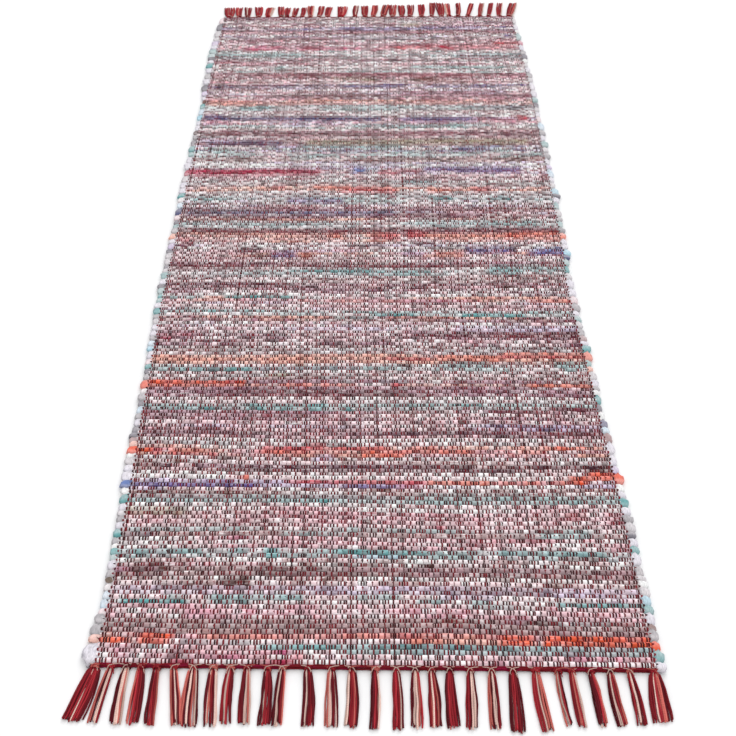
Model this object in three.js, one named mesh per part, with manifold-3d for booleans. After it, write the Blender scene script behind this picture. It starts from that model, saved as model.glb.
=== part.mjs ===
// Flat-woven kilim runner of cotton rag weft on thin cotton warp, lying flat on a floor.
// X runs across the rug, Y along it with the near end at -Y, and Z is up. All sizes are in millimetres.
// The origin is the middle of the underside of the whole outline, fringes included.
import * as THREE from "three";
import { mergeVertices } from "three/addons/utils/BufferGeometryUtils.js";
import Module from "manifold-3d";

// Woven body: 240 weft rows between two nearly straight ends, a little longer on its right-hand side.
const rowCount = 240;
const nearEdge = { middle: -1000, slope: -0.0045 };
const farEdge = { middle: 997, slope: 0.0385 };
const crestHeight = 6;
const valleyHeight = 3.6;
const crestUnevenness = 0.4;

// Where the two sides lie on average, which wander by a few millimetres as in any hand-woven rug.
const sides = [
  { y: -1000, left: -356, right: 353 },
  { y: -690, left: -357, right: 352 },
  { y: -500, left: -361, right: 349 },
  { y: -190, left: -366, right: 343 },
  { y: 0, left: -365, right: 350 },
  { y: 250, left: -364, right: 353 },
  { y: 560, left: -361, right: 355 },
  { y: 1010, left: -357, right: 349 },
];

// Selvedge: each weft turns back round the last warp in a fat loop two rows long.
const warpInset = 11;
const loop = { tip: 3, tipUneven: 2, notch: 4, tipHeight: 4.6, notchHeight: 2.8, flankHeight: 4.4 };

// Fringe: a gathered header parted from the cloth, knots on it, and separate locks fanning from each knot.
const edgeGap = 0.3;
const header = { atKnot: 9, between: 5.5, inner: 3.2, ridgeIn: 2.6, ridge: 4.4, outer: 2.4 };
const knot = { out: 7.5, radius: 4.8, topRadius: 2.4, height: 6.8, waist: 3, footRadius: 4.2, sides: 5 };
const lock = {
  perTassel: 4, perEndTassel: 6, width: 2.8, height: 2.8, rootPitch: 1.6, pitch: 3.5, openAt: 0.35, uneven: 3,
};

// The tassels of each end from left to right, as they were tied and laid by hand:
// [where the knot is, how far the tips lean to the right of it, how long the tassel hangs].
const ends = [
  {
    name: "fringe_near", direction: -1, edge: nearEdge, salt: 3,
    tassels: [
      [-345, -10, 78], [-326, -6, 82], [-307, -1, 82], [-289, 0, 82], [-270, 1, 83], [-249, 11, 83],
      [-225, 2, 85], [-201, 3, 84], [-180, 0, 80], [-160, 1, 80], [-135, 0, 83], [-117, -2, 82],
      [-86, 2, 82], [-57, 2, 85], [-32, 0, 84], [-4, -1, 86], [22, 1, 86], [45, 0, 85],
      [65, 2, 84], [87, 1, 84], [112, -2, 85], [138, 0, 84], [164, -1, 90], [192, 6, 87],
      [219, 6, 78], [236, 3, 80], [259, 5, 79], [283, 4, 78], [307, 3, 77], [337, -1, 72],
    ],
  },
  {
    name: "fringe_far", direction: 1, edge: farEdge, salt: 8,
    tassels: [
      [-333, -3, 58], [-310, -2, 58], [-290, -2, 59], [-265, -1, 61], [-242, 4, 59], [-211, -2, 64],
      [-198, 1, 57], [-181, 3, 56], [-162, 3, 57], [-141, 0, 68], [-122, 5, 65], [-101, 4, 60],
      [-70, 3, 63], [-36, 3, 70], [-12, -1, 66], [7, 5, 69], [31, 10, 74], [54, 3, 72],
      [75, 0, 70], [95, 4, 71], [122, 3, 74], [147, 4, 84], [170, -2, 84], [188, -1, 80],
      [210, 4, 82], [233, 14, 82], [262, 11, 82], [283, 13, 83], [308, 10, 82], [333, 16, 82],
    ],
  },
];

// A repeatable number from -1 to 1 for each index, so that no two loops, knots or locks are alike.
function uneven(index, salt) {
  const spread = Math.sin(index * 127.1 + salt * 311.7) * 43758.5453;
  return 2 * (spread - Math.floor(spread)) - 1;
}

// A smooth curve through the rows of a table.
function curve(table, key, value, at) {
  const next = table.findIndex((row) => row[key] >= at);
  if (next === 0) return table[0][value];
  if (next < 0) return table[table.length - 1][value];
  const [a, b] = [table[next - 1], table[next]];
  const share = (at - a[key]) / (b[key] - a[key]);
  return a[value] + (b[value] - a[value]) * share * share * (3 - 2 * share);
}

const edgeAt = (edge, x) => edge.middle + edge.slope * x;

// How far along the rug the line between two rows lies: row 0 starts at the near end.
const rowLine = (row, x) => edgeAt(nearEdge, x) + ((edgeAt(farEdge, x) - edgeAt(nearEdge, x)) * row) / rowCount;

// A closed solid through a row of sections, which are polygons of the same number of [x, y, z] points.
function loft(sections) {
  const around = sections[0].length;
  const index = [];
  for (let i = 0; i + 1 < sections.length; i++) {
    for (let j = 0; j < around; j++) {
      const [a, b] = [i * around + j, i * around + ((j + 1) % around)];
      index.push(a, b, b + around, a, b + around, a + around);
    }
  }
  const last = (sections.length - 1) * around;
  for (let j = 1; j + 1 < around; j++) {
    index.push(0, j + 1, j, last, last + j, last + j + 1);
  }
  const geometry = new THREE.BufferGeometry();
  geometry.setAttribute("position", new THREE.Float32BufferAttribute(sections.flat(2), 3));
  geometry.setIndex(index);
  return geometry;
}

// The outer edge of one side where the line between two rows meets it: a loop's tip or the notch between loops.
function sideEdge(side, line) {
  const outward = side === "left" ? -1 : 1;
  const atTip = line % 2 === (side === "left" ? 1 : 0);
  const mean = curve(sides, "y", side, rowLine(line, 0));
  const reach = atTip ? loop.tip + loop.tipUneven * uneven(line, 1) : -loop.notch;
  return { x: mean + outward * reach, z: atTip ? loop.tipHeight : loop.notchHeight, warp: mean - outward * warpInset };
}

// One section across the cloth at half row "half": even on the line between two rows, odd on a row's crest.
function clothSection(half) {
  const [low, high] = [Math.floor(half / 2), Math.ceil(half / 2)];
  const onLine = half % 2 === 0;
  const crest = crestHeight + crestUnevenness * uneven(half, 5);
  const top = onLine ? valleyHeight : crest;
  const place = (side) => {
    const [a, b] = [sideEdge(side, low), sideEdge(side, high)];
    return { x: (a.x + b.x) / 2, warp: (a.warp + b.warp) / 2, z: onLine ? a.z : loop.flankHeight };
  };
  const [left, right] = [place("left"), place("right")];
  return [
    [left.x, 0], [left.x, left.z], [left.warp, top], [right.warp, top], [right.x, right.z], [right.x, 0],
  ].map(([x, z]) => [x, rowLine(half / 2, x), z]);
}

function clothGeometry() {
  return loft(Array.from({ length: 2 * rowCount + 1 }, (unused, half) => clothSection(half)));
}

const knotX = (end, k) => end.tassels[k][0];

// The header: a bar of gathered warp along the cloth's edge, wider at each knot than between knots.
function headerGeometry(end) {
  const knotCount = end.tassels.length;
  const stations = Array.from({ length: 2 * knotCount + 1 }, (unused, i) => {
    const k = Math.min(Math.max((i - 1) / 2, 0), knotCount - 1);
    const [a, b] = [knotX(end, Math.floor(k)), knotX(end, Math.ceil(k))];
    const past = i === 0 ? -knot.radius : i === 2 * knotCount ? knot.radius : 0;
    return { x: (a + b) / 2 + past, out: i % 2 ? header.atKnot : header.between };
  });
  const sections = stations.map(({ x, out }) => {
    const inner = edgeAt(end.edge, x) + end.direction * edgeGap;
    const outer = edgeAt(end.edge, x) + end.direction * out;
    const ridge = inner + end.direction * header.ridgeIn;
    return [
      [x, inner, 0], [x, inner, header.inner], [x, ridge, header.ridge], [x, outer, header.outer], [x, outer, 0],
    ];
  });
  return loft(sections);
}

// A knot: a low lump with a flat foot on the floor.
function knotGeometry(end, x, y) {
  const rings = [
    { z: 0, radius: knot.footRadius }, { z: knot.waist, radius: knot.radius },
    { z: knot.height, radius: knot.topRadius },
  ];
  return loft(
    rings.map(({ z, radius }) =>
      Array.from({ length: knot.sides }, (unused, i) => {
        const angle = (2 * Math.PI * (i + 0.5)) / knot.sides;
        return [x + radius * Math.cos(angle), y + radius * Math.sin(angle), z];
      }),
    ),
  );
}

// One lock of a tassel, three-sided and level on the floor, from inside its knot to its tip.
function lockGeometry(end, x, y, across, lean, length) {
  const stations = [0, lock.openAt, 1].map((share) => {
    const open = Math.min(share / lock.openAt, 1);
    const offset = across * (lock.rootPitch + (lock.pitch - lock.rootPitch) * open);
    const size = share === 0 ? 0.5 : share === 1 ? 0.8 : 1;
    return {
      x: x + offset + lean * share,
      y: y + end.direction * length * share,
      half: (lock.width * size) / 2,
      z: lock.height * size,
    };
  });
  return loft(stations.map((at) => [[at.x - at.half, at.y, 0], [at.x + at.half, at.y, 0], [at.x, at.y, at.z]]));
}

function tasselGeometries(end, k) {
  const [x, lean, hang] = end.tassels[k];
  const y = edgeAt(end.edge, x) + end.direction * knot.out;
  const atCorner = k === 0 || k === end.tassels.length - 1;
  const count = atCorner ? lock.perEndTassel : lock.perTassel;
  const locks = Array.from({ length: count }, (unused, j) => {
    const length = hang + lock.uneven * uneven(k * lock.perEndTassel + j, end.salt);
    return lockGeometry(end, x, y, j - (count - 1) / 2, lean, length);
  });
  return [knotGeometry(end, x, y), ...locks];
}

const wasm = await Module();
wasm.setup();

function solidOf(geometry) {
  const merged = mergeVertices(geometry, 1e-3);
  const solid = new wasm.Manifold(
    new wasm.Mesh({
      numProp: 3,
      vertProperties: merged.getAttribute("position").array,
      triVerts: new Uint32Array(merged.index.array),
    }),
  );
  if (solid.volume() >= 0) return solid;
  return solidOf(turnedOver(merged));
}

// The same surface with its faces pointing the other way.
function turnedOver(geometry) {
  const index = geometry.index.array.slice();
  for (let i = 0; i < index.length; i += 3) [index[i + 1], index[i + 2]] = [index[i + 2], index[i + 1]];
  return geometry.clone().setIndex(new THREE.BufferAttribute(index, 1));
}

function geometryOf(solid) {
  const mesh = solid.getMesh();
  const points = new Float32Array(mesh.numVert * 3);
  for (let i = 0; i < mesh.numVert; i++) {
    points.set(mesh.vertProperties.subarray(i * mesh.numProp, i * mesh.numProp + 3), i * 3);
  }
  const geometry = new THREE.BufferGeometry();
  geometry.setAttribute("position", new THREE.BufferAttribute(points, 3));
  geometry.setIndex(new THREE.BufferAttribute(mesh.triVerts, 1));
  geometry.computeVertexNormals();
  return geometry;
}

// A fringe: header, knots and locks joined into one piece by their roots.
function fringeGeometry(end) {
  const pieces = end.tassels.flatMap((unused, k) => tasselGeometries(end, k));
  return geometryOf(pieces.map(solidOf).reduce((all, piece) => all.add(piece), solidOf(headerGeometry(end))));
}

const cottonRag = new THREE.MeshStandardMaterial({ color: 0xc9aeb2, roughness: 0.95, metalness: 0 });
const warpYarn = new THREE.MeshStandardMaterial({ color: 0x8f2026, roughness: 0.9, metalness: 0 });

function namedMesh(name, geometry, material) {
  const mesh = new THREE.Mesh(geometry, material);
  mesh.name = name;
  return mesh;
}

const rug = new THREE.Group();
rug.add(namedMesh("woven_cloth", geometryOf(solidOf(clothGeometry())), cottonRag));
for (const end of ends) rug.add(namedMesh(end.name, fringeGeometry(end), warpYarn));

// The whole outline is centred on the origin, with the underside at z = 0.
const middle = new THREE.Box3().setFromObject(rug).getCenter(new THREE.Vector3());
for (const mesh of rug.children) mesh.position.set(-middle.x, -middle.y, 0);

export default rug;
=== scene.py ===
import math

import bpy
import numpy as np
from mathutils import Matrix, Vector


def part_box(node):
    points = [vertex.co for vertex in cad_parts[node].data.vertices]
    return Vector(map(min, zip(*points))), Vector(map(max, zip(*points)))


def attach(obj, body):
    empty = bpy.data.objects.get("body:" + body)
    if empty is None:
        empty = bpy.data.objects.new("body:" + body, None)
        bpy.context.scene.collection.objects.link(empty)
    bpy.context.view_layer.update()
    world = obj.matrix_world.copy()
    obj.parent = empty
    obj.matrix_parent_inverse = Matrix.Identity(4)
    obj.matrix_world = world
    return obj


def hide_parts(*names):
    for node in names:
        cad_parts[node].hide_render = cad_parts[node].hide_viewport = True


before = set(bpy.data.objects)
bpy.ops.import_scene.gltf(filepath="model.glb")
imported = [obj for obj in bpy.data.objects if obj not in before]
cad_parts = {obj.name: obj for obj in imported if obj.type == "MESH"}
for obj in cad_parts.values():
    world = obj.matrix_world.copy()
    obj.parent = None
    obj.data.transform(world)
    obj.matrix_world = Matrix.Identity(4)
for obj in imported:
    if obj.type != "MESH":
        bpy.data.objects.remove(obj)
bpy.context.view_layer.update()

# Sizes are in millimetres unless a note says otherwise, and mm turns them into the scene's metres.
mm = 0.001
scene = bpy.context.scene
scene.view_settings.view_transform = "Standard"

cameraPlan = {
    "place": (-0.0287, -2.1380, 1.3107),  # metres, in front of the near fringe
    "down": 36.83,  # degrees below the horizon
    "turn": 0.784,
    "tilt": 0.955,
    "lens": 67.772,
    "sensor": 36.0,
}


def makeCamera(plan):
    down, turn, tilt = (math.radians(plan[key]) for key in ("down", "turn", "tilt"))
    ahead = Vector((math.sin(turn) * math.cos(down), math.cos(turn) * math.cos(down), -math.sin(down)))
    level = Vector((math.cos(turn), -math.sin(turn), 0))
    above = level.cross(ahead)
    right = level * math.cos(tilt) + above * math.sin(tilt)
    up = above * math.cos(tilt) - level * math.sin(tilt)
    data = bpy.data.cameras.new("camera")
    data.lens, data.sensor_width = plan["lens"], plan["sensor"]
    camera = bpy.data.objects.new("camera", data)
    turned = Matrix((right, up, -ahead)).transposed().to_4x4()
    camera.matrix_world = Matrix.Translation(plan["place"]) @ turned
    scene.collection.objects.link(camera)
    scene.camera = camera


makeCamera(cameraPlan)
print("camera made")

# The node helpers: one node with its inputs filled by values or by links.


def put(tree, kind, inputs=None, **settings):
    node = tree.nodes.new(kind)
    for name, value in settings.items():
        setattr(node, name, value)
    for key, value in (inputs or {}).items():
        socket = node.inputs[key]
        if isinstance(value, bpy.types.NodeSocket):
            tree.links.new(value, socket)
        else:
            socket.default_value = value
    return node


def calc(tree, operation, *values):
    return put(tree, "ShaderNodeMath", dict(enumerate(values)), operation=operation).outputs[0]


def vectorCalc(tree, operation, *values):
    return put(tree, "ShaderNodeVectorMath", dict(enumerate(values)), operation=operation).outputs[0]


def scaled(tree, vector, scale):
    return put(tree, "ShaderNodeVectorMath", {0: vector, "Scale": scale}, operation="SCALE").outputs[0]


def makeGroup(name, kind, inputs, outputs):
    tree = bpy.data.node_groups.new(name, kind)
    for label, socketType, value in inputs:
        socket = tree.interface.new_socket(label, in_out="INPUT", socket_type=socketType)
        if value is not None:
            socket.default_value = value
    for label, socketType in outputs:
        tree.interface.new_socket(label, in_out="OUTPUT", socket_type=socketType)
    return tree, tree.nodes.new("NodeGroupInput"), tree.nodes.new("NodeGroupOutput")


def linear(hexCode):
    # the linear colour of a six-figure hex code
    parts = np.array([int(hexCode[i:i + 2], 16) / 255 for i in (0, 2, 4)])
    return np.where(parts <= 0.04045, parts / 12.92, ((parts + 0.055) / 1.055) ** 2.4)


# Repeatable unevenness, so that no two rows, loops or yarns are alike.


def uneven(index, salt):
    # from -1 to 1
    spread = np.sin(np.asarray(index) * 127.1 + np.asarray(salt) * 311.7) * 43758.5453
    return 2 * (spread - np.floor(spread)) - 1


def drift(at, period, salt):
    # a smooth wander from -1 to 1 with a new value each period
    at = np.asarray(at, float) / period
    low = np.floor(at)
    share = at - low
    share = share * share * (3 - 2 * share)
    return uneven(low, salt) * (1 - share) + uneven(low + 1, salt) * share


def eased(share):
    share = np.clip(share, 0, 1)
    return share * share * (3 - 2 * share)


def domed(share, end):
    # 0 at both ends of a path, and 1 from this share of its length on
    return eased(share / end) * eased((1 - share) / end)


def curve(table, at):
    # a smooth curve through the rows (at, value) of a table
    keys = np.array([row[0] for row in table], float)
    values = np.array([row[1] for row in table], float)
    at = np.clip(at, keys[0], keys[-1])
    low = np.clip(np.searchsorted(keys, at, side="right") - 1, 0, len(keys) - 2)
    share = eased((at - keys[low]) / (keys[low + 1] - keys[low]))
    return values[low] * (1 - share) + values[low + 1] * share


# The woven body's plan: 240 weft rows between two nearly straight ends.
clothPlan = {
    "rows": 240,
    "nearEdge": (-1000, -0.0045),  # where x is 0, and its slope
    "farEdge": (997, 0.0385),
    "left": [
        (-1000, -356), (-690, -357), (-500, -361), (-190, -366), (0, -365), (250, -364), (560, -361),
        (1010, -357),
    ],
    "right": [
        (-1000, 353), (-690, 352), (-500, 349), (-190, 343), (0, 350), (250, 353), (560, 355),
        (1010, 349),
    ],
    "warpInset": 11,
    "loopTip": 3,
    "loopTipUneven": 2,
    "loopNotch": 4,
    "crest": 6,
    "crestUneven": 0.4,
    "units": 180,  # steps of the warp's pattern between the two selvedges
    "repeat": 7,  # steps to one repeat of that pattern
    "bands": 6,  # the cloth is made in this many bands of rows
    # the line between two rows: each wave's height, the millimetres across the rug and the rows along it
    # that a radian takes, and its start
    "waves": ((1.4, 105, 9.5, 0), (0.9, 61, -6.1, 2)),
    "wander": (0.8, 62),  # how far it wanders besides, and over what length
    "lineUneven": 0.9,
    "heldRows": 3,  # near both ends it has to lie straight
    # a warp: each wave's height, its radians a step, the millimetres along the rug that one takes, and its
    # start
    "sways": ((0.55, 0.9, 140, 0), (0.45, 0.37, -90, 1.3)),
    "heldSteps": 4,
}


def edgeAt(edge, x):
    return edge[0] + edge[1] * np.asarray(x, float)


def rowLine(line, x):
    near, far = edgeAt(clothPlan["nearEdge"], x), edgeAt(clothPlan["farEdge"], x)
    return near + (far - near) * line / clothPlan["rows"]


def sideMean(side, line):
    return curve(clothPlan[side], rowLine(line, 0))


def loopReach(side, line):
    # how far past the side's mean line a loop's tip comes
    tip = line % 2 == (1 if side == "left" else 0)
    reach = clothPlan["loopTip"] + clothPlan["loopTipUneven"] * uneven(line, 1)
    return np.where(tip, reach, -clothPlan["loopNotch"])


def lineY(line, x):
    # the line between two rows as it was beaten up, which wanders most far from the ends
    line, plan = np.asarray(line, float), clothPlan
    hold = np.clip(np.minimum(line, plan["rows"] - line) / plan["heldRows"], 0, 1)
    slow = sum(far * np.sin(x / across + line / along + start) for far, across, along, start in plan["waves"])
    far, over = plan["wander"]
    fine = far * drift(x, over, line + 40) + plan["lineUneven"] * uneven(line, 91)
    return rowLine(line, x) + hold * (slow + fine)


def warpX(unit, line):
    # where a step of the warp's pattern lies, between the two selvedge warps
    left = sideMean("left", line) + clothPlan["warpInset"]
    right = sideMean("right", line) - clothPlan["warpInset"]
    y, plan = rowLine(line, 0), clothPlan
    sway = sum(far * np.sin(unit * pace + y / along + start) for far, pace, along, start in plan["sways"])
    inside = np.clip(np.minimum(unit, plan["units"] - unit) / plan["heldSteps"], 0, 1)
    return left + (right - left) * unit / plan["units"] + inside * sway


# From the rug's own measures to the frame: the cloth's box gives the shift.
lines = np.arange(clothPlan["rows"] + 1)
leftMost = (sideMean("left", lines) - loopReach("left", lines)).min()
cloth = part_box("woven_cloth")
toFrame = np.array([cloth[0][0] / mm - leftMost, 0, 0])
nearMost = rowLine(0, sideMean("right", 0) + loopReach("right", 0))
toFrame[1] = cloth[0][1] / mm - nearMost
print("shift into the frame, mm:", toFrame.round(2))

# The colours of rags and yarns, in daylight.
dyes = {
    "white": "f6eef0", "chalk": "ece4e6", "palePink": "f0d6da", "pink": "e2b6bf", "rose": "cf94a2",
    "salmon": "efac9a", "coral": "e88672", "orange": "ea5c38", "red": "cc3440", "crimson": "b01c48",
    "magenta": "bc3f74", "maroon": "70283c", "wine": "8c3044", "mauve": "a4788a", "taupe": "b29596",
    "brown": "74483f", "umber": "52302c", "plum": "4c2436", "grey": "a8a4a8", "slate": "75727c",
    "silver": "cdc8cc", "lavender": "cdbfd9", "violet": "6a5a98", "blue": "4a6cae", "navy": "3c4272",
    "sky": "a4cfe0", "teal": "5aa0a2", "deepTeal": "2f7478", "mist": "a3bcbd", "olive": "969070",
    "pearl": "dcd8e2", "ice": "ccdce8", "bark": "74645a", "yarnDark": "5c121c", "yarnWine": "861c26",
    "yarnRed": "a52b34", "yarnCoral": "bd625a", "yarnSand": "d6b5aa",
}
dyes = {name: linear(code) for name, code in dyes.items()}

# What lies between the streaks, from the near end on:
# (from row, dyes in turn, the dye of its patches, how strong they are)
grounds = [
    (0, "palePink white pink palePink", "magenta", 0.4),
    (3, "palePink white palePink pink", "slate", 0.2), (5, "pink palePink salmon pink", "maroon", 0.2),
    (6, "taupe mauve taupe grey", "wine", 0.3), (9, "palePink pink white pink", "magenta", 0.35),
    (12, "white palePink lavender white", "maroon", 0.2),
    (14, "lavender white palePink lavender", "plum", 0.6),
    (16, "palePink taupe white palePink", "brown", 0.5), (18, "taupe mauve grey taupe", "umber", 0.4),
    (20, "white palePink white pink", "brown", 0.5), (22, "silver mist palePink grey", "deepTeal", 0.3),
    (24, "palePink pink white pink", "maroon", 0.38), (27, "taupe palePink mist taupe", "maroon", 0.3),
    (29, "pink taupe pink palePink", "wine", 0.5), (33, "white palePink white pink", "taupe", 0.3),
    (35, "mist taupe grey palePink", "slate", 0.35), (37, "white palePink taupe white", "brown", 0.5),
    (39, "lavender palePink pink white", "maroon", 0.25),
    (41, "white palePink white palePink", "taupe", 0.35),
    (43, "palePink pink mauve taupe", "plum", 0.8),
    (45, "palePink silver palePink taupe", "brown", 0.5),
    (47, "palePink pink salmon white", "red", 0.3),
    (50, "white palePink silver palePink", "umber", 0.45),
    (52, "pink taupe palePink mauve", "plum", 0.45), (54, "palePink pink pink lavender", "plum", 0.6),
    (57, "palePink pink mauve palePink", "wine", 0.4),
    (59, "taupe mauve palePink taupe", "maroon", 0.45), (60, "mist grey silver mist", "deepTeal", 0.35),
    (62, "white palePink silver white", "taupe", 0.35), (64, "mauve taupe pink mauve", "maroon", 0.7),
    (67, "palePink pink taupe palePink", "wine", 0.35),
    (68, "taupe mauve grey palePink", "umber", 0.35),
    (72, "silver mist palePink white", "deepTeal", 0.4),
    (74, "salmon palePink pink salmon", "maroon", 0.2),
    (77, "palePink silver taupe grey", "maroon", 0.35),
    (80, "palePink pink palePink mauve", "plum", 0.6),
    (85, "white lavender palePink pink", "mauve", 0.35),
    (88, "mauve salmon palePink taupe", "maroon", 0.5),
    (90, "silver mist palePink white", "teal", 0.25),
    (92, "palePink pink palePink lavender", "maroon", 0.4),
    (95, "palePink salmon pink white", "magenta", 0.3),
    (97, "palePink white mauve palePink", "plum", 0.55), (100, "mauve taupe pink mauve", "plum", 0.75),
    (102, "taupe palePink mauve silver", "plum", 0.55),
    (105, "silver mist palePink white", "taupe", 0.35), (108, "mauve wine taupe mauve", "maroon", 0.6),
    (110, "palePink pink taupe palePink", "maroon", 0.45),
    (112, "pink taupe palePink salmon", "brown", 0.5),
    (114, "lavender palePink white pink", "plum", 0.65),
    (118, "pink palePink salmon pink", "wine", 0.35),
    (120, "salmon pink palePink salmon", "maroon", 0.35),
    (122, "mauve taupe maroon mauve", "maroon", 0.5),
    (123, "silver mist taupe palePink", "slate", 0.45),
    (127, "palePink salmon taupe mauve", "maroon", 0.6),
    (130, "pink lavender silver mauve", "plum", 0.45),
    (132, "pink salmon palePink mauve", "maroon", 0.45),
    (133, "palePink silver white lavender", "plum", 0.45),
    (136, "silver mist palePink grey", "slate", 0.35),
    (138, "palePink white grey palePink", "brown", 0.35),
    (140, "salmon palePink pink salmon", "wine", 0.3),
    (142, "white silver taupe palePink", "umber", 0.5),
    (145, "palePink taupe silver pink", "maroon", 0.5),
    (148, "pink lavender palePink mauve", "wine", 0.4),
    (151, "white lavender palePink silver", "slate", 0.3),
    (154, "taupe palePink brown silver", "umber", 0.55),
    (156, "palePink silver mist pink", "mauve", 0.4),
    (159, "lavender mist palePink silver", "violet", 0.4),
    (162, "taupe mauve palePink taupe", "maroon", 0.45),
    (165, "palePink taupe pink silver", "maroon", 0.4), (167, "mauve maroon rose taupe", "plum", 0.6),
    (169, "pink mauve palePink taupe", "maroon", 0.5), (171, "silver mist palePink grey", "slate", 0.4),
    (173, "palePink lavender pink white", "magenta", 0.35),
    (175, "lavender mauve pink violet", "plum", 0.4),
    (177, "palePink white taupe silver", "maroon", 0.35),
    (181, "mist silver grey palePink", "slate", 0.5), (184, "rose salmon pink taupe", "maroon", 0.45),
    (187, "rose pink taupe mauve", "maroon", 0.55),
    (190, "palePink pink mauve lavender", "maroon", 0.45),
    (194, "mauve violet palePink taupe", "plum", 0.5), (196, "rose pink taupe palePink", "brown", 0.4),
    (199, "rose mauve pink taupe", "wine", 0.5), (201, "mauve wine rose taupe", "maroon", 0.5),
    (203, "white silver palePink mist", "taupe", 0.4),
    (207, "palePink taupe silver rose", "maroon", 0.45), (210, "mauve taupe rose grey", "plum", 0.5),
    (212, "mist silver grey palePink", "slate", 0.4), (215, "palePink mist pink silver", "taupe", 0.35),
    (217, "pink rose palePink pink", "crimson", 0.45), (220, "rose pink mauve palePink", "wine", 0.45),
    (224, "taupe mauve silver grey", "slate", 0.45),
    (226, "silver white lavender palePink", "mauve", 0.4),
    (228, "mauve rose taupe mauve", "maroon", 0.55),
    (230, "lavender mauve palePink violet", "plum", 0.55),
    (233, "mauve taupe rose palePink", "wine", 0.5), (236, "palePink taupe silver rose", "mauve", 0.4),
    (238, "taupe mauve pink silver", "maroon", 0.4),
]

# The rags grow paler along the rug: rows, and how much white is in them.
# White mixed into the rags, more towards the far end: rows, and how much white. It is partly the rags' own
# paleness and partly painted light, which lifts the far rows whose slopes the light reaches less.
palenessAndFarLight = ((0, 40, 50, 128, 190, 240), (0.06, 0.11, 0.2, 0.28, 0.33, 0.34))

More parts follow.
